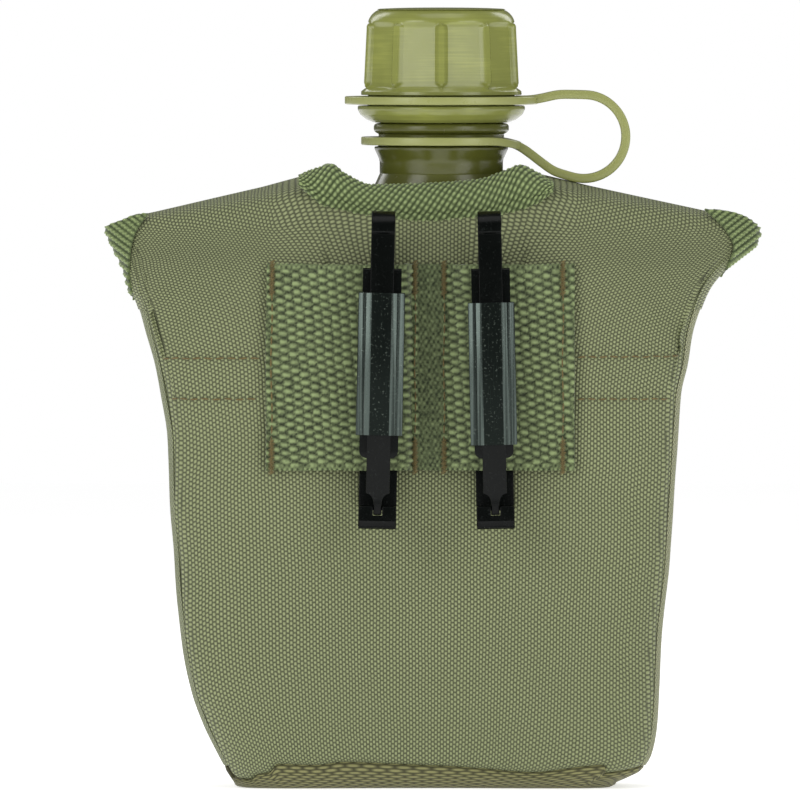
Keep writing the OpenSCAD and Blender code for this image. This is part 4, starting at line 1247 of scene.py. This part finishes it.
def pocket():
    build = Build()
    grid = surface_grid(pocket_point, 44, 40, 1.0)[::-1]
    for p in grid.reshape(-1, 3):
        p[1] += 0.25 * ripple(p[0], p[1], p[2], 11.0, 6.4)
    build.cloth(grid, 0.9)
    finish_piece(build.make("pocket_cloth", 50), OLIVE_CLOTH, "root",
                 replaces=["tablet_pocket"])
    lines = np.array([soften([pocket_flap_point(u, v, 1.0) for v in np.linspace(0, 1, 60)], 0.8, 8)
                      for u in np.linspace(0, 1, 44)], dtype=object)
    grid = np.array([resample(np.array(list(line), float), 44) for line in lines])[::-1]
    build = Build()
    build.cloth(grid, 0.9)
    start, end = (Vector((COVER_X, 36.6, 103.4)) * MM, Vector((COVER_X, 41.5, 103.0)) * MM)
    finish_piece(build.make("pocket_flap_cloth", 50), OLIVE_CLOTH,
                 blend=("root", "pocket_flap", start, end), replaces=["pocket_flap"])
    strip = np.array([[pocket_point(0.2 + 0.6 * i, 0.62 + 0.27 * j, 1.5) for j in np.linspace(0, 1, 12)]
                      for i in np.linspace(0, 1, 30)])[::-1]
    build = Build()
    build.cloth(strip, 0.4)
    finish_piece(build.make("loop_strip", 50), HOOK_TAPE, "root",
                 replaces=["pocket_loop_strip"])
    strip = np.array([[pocket_flap_point(0.2 + 0.6 * i, 0.5 + 0.39 * j, -0.1) for j in np.linspace(0, 1, 12)]
                      for i in np.linspace(0, 1, 30)])[::-1]
    build = Build()
    build.cloth(strip, 0.35)
    finish_piece(build.make("hook_strip", 50), HOOK_TAPE, "pocket_flap",
                 replaces=["pocket_hook_strip"])


def pocket_thread():
    """Stitch rows round the pocket, its flap and the front seam."""
    fixed = Build()
    for inset in (0.03, 0.965):
        row = [pocket_point(inset, v, 1.15) for v in np.linspace(0.02, 0.98, 60)]
        stitches(fixed, row, 2.8, 2.2, 0.2, -0.05)
    row = [pocket_point(u, 0.035, 1.15) for u in np.linspace(0.03, 0.97, 60)]
    stitches(fixed, row, 2.8, 2.2, 0.2, -0.05)
    finish_piece(fixed.make("pocket_thread", 60), GREEN_THREAD, "root")
    moving = Build()
    for inset in (0.05, 0.95):
        row = [pocket_flap_point(inset, v, 1.1) for v in np.linspace(0.45, 0.95, 60)]
        stitches(moving, row, 2.8, 2.2, 0.2, -0.05)
    row = [pocket_flap_point(u, 0.93, 1.1) for u in np.linspace(0.05, 0.95, 60)]
    stitches(moving, row, 2.8, 2.2, 0.2, -0.05)
    finish_piece(moving.make("pocket_flap_thread", 60), GREEN_THREAD, "pocket_flap")


# ---------------------------------------------------------------- bottle, cap and strap

def thread_ridge(build, r, step, z, turns):
    """A trapezoid ridge that climbs a cylinder of radius r."""
    parts = 72
    rings = []
    for i in range(int(turns * parts) + 1):
        a = 2 * math.pi * i / parts
        h = z + THREAD_PITCH * i / parts
        fade = min(1.0, min(i, turns * parts - i) / 9)
        tip = r + step * lerp(0.1, 1.3, fade)
        root = r - step * 0.6
        rings.append([(p * math.cos(a), p * math.sin(a), h + up) for p, up in
                      ((root, -1.1), (tip - step * 0.2, -0.6), (tip, -0.4), (tip, 0.4),
                       (tip - step * 0.2, 0.6), (root, 1.1))])
    build.loft(rings)


def bottle_ring(z, inset):
    count = 120
    n = curve_at(z, BOTTLE_SQUARENESS)
    ring = []
    for k in range(count):
        t = 2 * math.pi * k / count
        c = math.copysign(abs(math.cos(t)) ** (2 / n), math.cos(t))
        s = math.copysign(abs(math.sin(t)) ** (2 / n), math.sin(t))
        ring.append(((curve_at(z, BOTTLE_HALF_WIDTHS) - inset) * c,
                     curve_at(z, BOTTLE_MID) + (curve_at(z, BOTTLE_HALF_DEPTHS) - inset) * s
                     - curve_at(z, BOTTLE_BEND) * c * c, z))
    return ring


def bottle():
    build = Build()
    heights = np.concatenate([[4.2, 4.6, 5.3, 6.5, 8], np.linspace(10, 160, 60), np.linspace(161.5, 172, 12)])
    shell = [bottle_ring(z, 0) for z in heights]
    cavity = [bottle_ring(z, BOTTLE_WALL) for z in heights[::-1] if z > 6.2]
    build.loft(shell + cavity)
    neck = [(MOUTH_R, 171.2), (NECK_R, 171.2), (NECK_R, 175.6), (18.7, 178.6), (18.8, 179.4),
            (17.6, 179.5), (17.6, 183.0), (18.4, 183.3), (18.95, 183.9), (18.95, 185.3), (18.4, 185.9),
            (THREAD_CORE_R, 186.2), (THREAD_CORE_R, NECK_TOP_Z - 0.8), (THREAD_CORE_R - 0.6, NECK_TOP_Z),
            (MOUTH_R, NECK_TOP_Z)]
    turned(build, filleted(neck, 0.9) + [(MOUTH_R, 190.0)], 160)
    thread_ridge(build, THREAD_CORE_R, 1, BOTTLE_THREAD_Z, THREAD_TURNS)
    finish_piece(build.make("bottle", 35, settle=False), BOTTLE_PLASTIC, "root",
                 replaces=["bottle_body"])


def cap_radius(r, z, angle):
    """The cap's wall: flat facets, with a rib at each corner that ends in a point below."""
    if z < 194.6 or r < CAP_BORE_R + 0.85:
        return r
    each = 2 * math.pi / CAP_RIBS
    off = (angle + math.pi / 2 + each / 2) % each - each / 2
    flat = (r - 0.55) * math.cos(each / 2) / math.cos(each / 2 - abs(off))
    facet = lerp(r - 0.75, flat, ease((214.6 - z) / 1.4))
    facet = lerp(r, facet, ease((z - 194.7) / 1.7))
    point = max(0.0, 197.4 - z) * 0.9
    crown = 1.1 * max(0.0, z - 212.9) ** 2
    rib = r + 0.3 - max(0.0, abs(off) * r + point + crown - 0.95) * 1.5
    return max(facet, rib)


def cap():
    """The screw cap, drawn as one closed wall from the flange over the top and back up the bore."""
    build = Build()
    lower = filleted([(CAP_BORE_R, 188.4), (CAP_BORE_R, 186.1), (18.8, 186.15), (21.0, 187.0),
                      (22.8, 188.4), (23.5, 189.9), (23.4, 190.9),
                      (20.5, 190.95), (20.5, 193.85), (22.6, 193.9), (22.5, 194.6)], 0.35, 4)
    sweep = [(22.55, 194.9), (22.5, 195.2), (22.45, 195.6), (22.4, 196.0), (22.35, 196.3)]
    wall = [(lerp(22.3, 21.5, (z - 196.6) / 16.0), z) for z in np.arange(196.6, 212.7, 0.35)]
    dome = []
    for t in np.linspace(0, 1, 22):
        a = math.radians(90 * t)
        dome.append((16.6 + 4.9 * math.cos(a), 212.9 + 5.2 * math.sin(a) ** 0.95))
    top = [(r, CAP_TOP_Z - 0.3 * (r / 16.6) ** 3) for r in (15.6, 13, 10, 7, 4, 1.5, 0.02)]
    under = [(0.02, CAP_CEILING_Z), (6, CAP_CEILING_Z), (12, CAP_CEILING_Z), (17.0, CAP_CEILING_Z),
             (CAP_BORE_R, CAP_CEILING_Z - 0.4), (CAP_BORE_R, 205.0), (CAP_BORE_R, 195.0)]
    turned(build, lower + sweep + wall + dome + top + under, 360, cap_radius)
    thread_ridge(build, CAP_BORE_R, -1, CAP_THREAD_Z, THREAD_TURNS)
    finish_piece(build.make("screw_cap", 32, settle=False), CAP_PLASTIC, "cap",
                 replaces=["cap"])


def rings():
    """The strap's two rings; the lower one dips on the side that the band leaves from."""
    build = Build()
    upper = filleted([(22, 191.25), (20.85, 191.25), (20.85, 193.5), (26.9, 193.5), (27.1, 193.3),
                      (27.1, 191.5), (26.8, 191.25), (22, 191.25)], 0.3, 4)
    turned(build, upper[:-1], 160)
    finish_piece(build.make("upper_ring", 35, settle=False), BAND_PLASTIC, "cap_ring",
                 replaces=["cap_ring"])
    build = Build()
    bent = lambda x: -1.5 * (max(0.0, x - 13) / 9.5) ** 2
    lower = filleted([(20, 179.85), (17.95, 179.85), (17.95, 182.15), (22.3, 182.15), (22.5, 181.9),
                      (22.5, 180.1), (22.3, 179.85), (20, 179.85)], 0.3, 4)
    turned(build, lower[:-1], 160)
    build.points = [(x, y, z + bent(x)) for x, y, z in build.points]
    finish_piece(build.make("lower_ring", 35, settle=False), BAND_PLASTIC, "neck_ring",
                 replaces=["neck_ring"])


def strap():
    """The band from the cap's ring, out to the right in a loop, and back to the neck's ring."""
    centre, loop_r = np.array([40.0, 182.2]), 11.9
    route = [(20.9, 192.45), (24.5, 192.4), (27.5, 192.8), (33, 194.1)]
    route += [tuple(centre + loop_r * np.array([math.cos(math.radians(a)), math.sin(math.radians(a))]))
              for a in range(80, -101, -10)]
    route += [(31.5, 172.4), (27.5, 175.4), (24.2, 178.0), (21.6, 179.7), (18.6, 180.6)]
    path = soften([(x, 0, z) for x, z in route], 0.7, 8)
    across, out = frames(path, (0.0, 1.0, 0.0))
    run = np.linspace(0, 1, len(path))
    half_w = 4.5 * np.clip(np.minimum(run, 1 - run) * 30 + 0.82, 0, 1)
    half_t = 1.25 - 0.15 * np.clip((run - 0.93) / 0.07, 0, 1)
    corner = 0.45
    loops = []
    for p, s, n, w, t in zip(path, across, out, half_w, half_t):
        spots = [(w, t - corner), (w - 0.15, t - 0.12), (w - corner, t), (-w + corner, t),
                 (-w + 0.15, t - 0.12), (-w, t - corner), (-w, -t + corner), (-w + 0.15, -t + 0.12),
                 (-w + corner, -t), (w - corner, -t), (w - 0.15, -t + 0.12), (w, -t + corner)]
        loops.append([p + n * across_band + s * through for across_band, through in spots])
    build = Build()
    build.loft(loops)
    obj = build.make("retaining_strap", 50, settle=False)
    finish_piece(obj, BAND_PLASTIC,
                 blend=("neck_ring", "cap_ring", Vector((0.03, 0, 0.1819)), Vector((0.03, 0, 0.1909))),
                 replaces=["strap_band"])


# ---------------------------------------------------------------- parts whose shape comes from the CAD

def refined(node, material, body, bevel, name):
    """A CAD part with its coplanar triangles joined and its edges rounded, as pressed steel has."""
    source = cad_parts[node]
    mesh = source.data.copy()
    work = bmesh.new()
    work.from_mesh(mesh)
    bmesh.ops.remove_doubles(work, verts=work.verts, dist=2e-6)
    bmesh.ops.dissolve_limit(work, angle_limit=math.radians(0.5), verts=work.verts, edges=work.edges)
    edges = [e for e in work.edges if len(e.link_faces) == 2 and e.calc_face_angle(0) > math.radians(28)]
    bmesh.ops.bevel(work, geom=edges, offset=bevel * MM, segments=2, profile=0.6, affect="EDGES",
                    clamp_overlap=True)
    work.to_mesh(mesh)
    work.free()
    mesh.polygons.foreach_set("use_smooth", [True] * len(mesh.polygons))
    mesh.set_sharp_from_angle(angle=math.radians(50))
    obj = bpy.data.objects.new(name, mesh)
    bpy.context.scene.collection.objects.link(obj)
    finish_piece(obj, material, body, replaces=[node])
    return obj


def hardware():
    for side in ("left", "right"):
        refined(f"{side}_clip_leg", BLACK_STEEL, f"{side}_clip", 0.22, f"{side}_clip_back")
        refined(f"{side}_clip_strip", BLACK_STEEL, f"{side}_strip", 0.22, f"{side}_clip_spring")
        refined(f"{side}_clip_plate", BLACK_STEEL, f"{side}_strip", 0.22,
                f"{side}_clip_stiffener")
        refined(f"{side}_clip_sleeve", SLEEVE_STEEL, f"{side}_sleeve", 0.18,
                f"{side}_clip_slider")
        refined(f"{side}_snap_cap", BLACK_ENAMEL, f"{side}_flap", 0.15, f"{side}_snap_button")
        refined(f"{side}_snap_stud", BLACK_ENAMEL, "root", 0.15, f"{side}_snap_post")
    refined("drain_eyelet", BLACK_ENAMEL, "root", 0.1, "drain_ring")
    refined("cap_gasket", RUBBER, "gasket", 0.2, "cap_seal")


# ---------------------------------------------------------------- floor, lights and camera

CAMERA_AWAY = 6.0
CAMERA_TILT = 1.4
FRAME_WIDTH = 0.22346


def studio():
    mesh = bpy.data.meshes.new("floor")
    mesh.from_pydata([(-3, -3, 0), (3, -3, 0), (3, 3, 0), (-3, 3, 0)], [], [(0, 1, 2, 3)])
    floor = bpy.data.objects.new("floor", mesh)
    bpy.context.scene.collection.objects.link(floor)
    m = Material("pale_floor", roughness=0.9, specular=0.1)
    m.colour(m.ramp(m.noise(3.0, 2.0), [(0.0, (0.87, 0.87, 0.87)), (1.0, (0.9, 0.9, 0.9))]))
    m.shader.inputs["Emission Color"].default_value = (1, 1, 1, 1)
    m.shader.inputs["Emission Strength"].default_value = 0.56
    floor.data.materials.append(m.made)

    world = bpy.data.worlds.new("studio")
    bpy.context.scene.world = world
    world.use_nodes = True
    tree = world.node_tree
    sky = tree.nodes["Background"]
    sky.inputs["Color"].default_value = (1, 1, 1, 1)
    sky.inputs["Strength"].default_value = 0.5
    seen = tree.nodes.new("ShaderNodeBackground")
    seen.inputs["Color"].default_value = (1, 1, 1, 1)
    seen.inputs["Strength"].default_value = 1.0
    mirrored_room = tree.nodes.new("ShaderNodeBackground")
    mirrored_room.inputs["Strength"].default_value = 0.14
    path = tree.nodes.new("ShaderNodeLightPath")
    below = sky.outputs[0]
    for kind, shown in (("Is Glossy Ray", mirrored_room), ("Is Camera Ray", seen)):
        mix = tree.nodes.new("ShaderNodeMixShader")
        tree.links.new(path.outputs[kind], mix.inputs[0])
        tree.links.new(below, mix.inputs[1])
        tree.links.new(shown.outputs[0], mix.inputs[2])
        below = mix.outputs[0]
    tree.links.new(below, tree.nodes["World Output"].inputs[0])

    # azimuth from the belt side, height angle, distance, width, height, watts
    for name, azimuth, rise, away, wide, high, power in (
            ("key_left", -43, 20, 1.3, 0.62, 0.9, 5.4), ("fill_right", 43, 16, 1.4, 0.66, 0.9, 4.6),
            ("top_soft", 8, 78, 1.2, 0.9, 0.7, 2.6), ("rim_back_left", -140, 28, 1.5, 0.5, 0.8, 3.4),
            ("rim_back_right", 140, 28, 1.5, 0.5, 0.8, 3.4)):
        light = bpy.data.lights.new(name, "AREA")
        light.shape = "RECTANGLE"
        light.size, light.size_y, light.energy = wide, high, power
        lamp = bpy.data.objects.new(name, light)
        bpy.context.scene.collection.objects.link(lamp)
        a, e = math.radians(azimuth), math.radians(rise)
        toward = Vector((math.sin(a) * math.cos(e), -math.cos(a) * math.cos(e), math.sin(e)))
        lamp.location = Vector((0, 0, 0.11)) + toward * away
        lamp.rotation_euler = toward.to_track_quat("Z", "Y").to_euler()

    scene = bpy.context.scene
    scene.view_settings.view_transform = "Standard"
    camera = bpy.data.objects.new("camera", bpy.data.cameras.new("camera"))
    scene.collection.objects.link(camera)
    scene.camera = camera
    distance, tilt, frame_width = CAMERA_AWAY, math.radians(CAMERA_TILT), FRAME_WIDTH
    target = Vector((-0.0116, -0.033, 0.1090))
    camera.location = target + distance * Vector((0, -math.cos(tilt), math.sin(tilt)))
    camera.rotation_euler = (math.radians(90) - tilt, 0, 0)
    camera.data.sensor_width = 36.0
    camera.data.lens = 36.0 * distance / frame_width
    camera.data.clip_start, camera.data.clip_end = 0.1, 60.0


studio()
back_cloth()
front_cloth()
bottom_cloth()
lining()
neck_band()
for piece_side in ("left", "right"):
    flap_cloth(piece_side)
    side_cloth(piece_side)
    shoulder_roll(piece_side)
    tip_tape(piece_side)
    flap_tape(piece_side)
front_tape()
webbing()
webbing_thread()
cover_thread()
pocket()
pocket_thread()
bottle()
cap()
rings()
strap()
hardware()
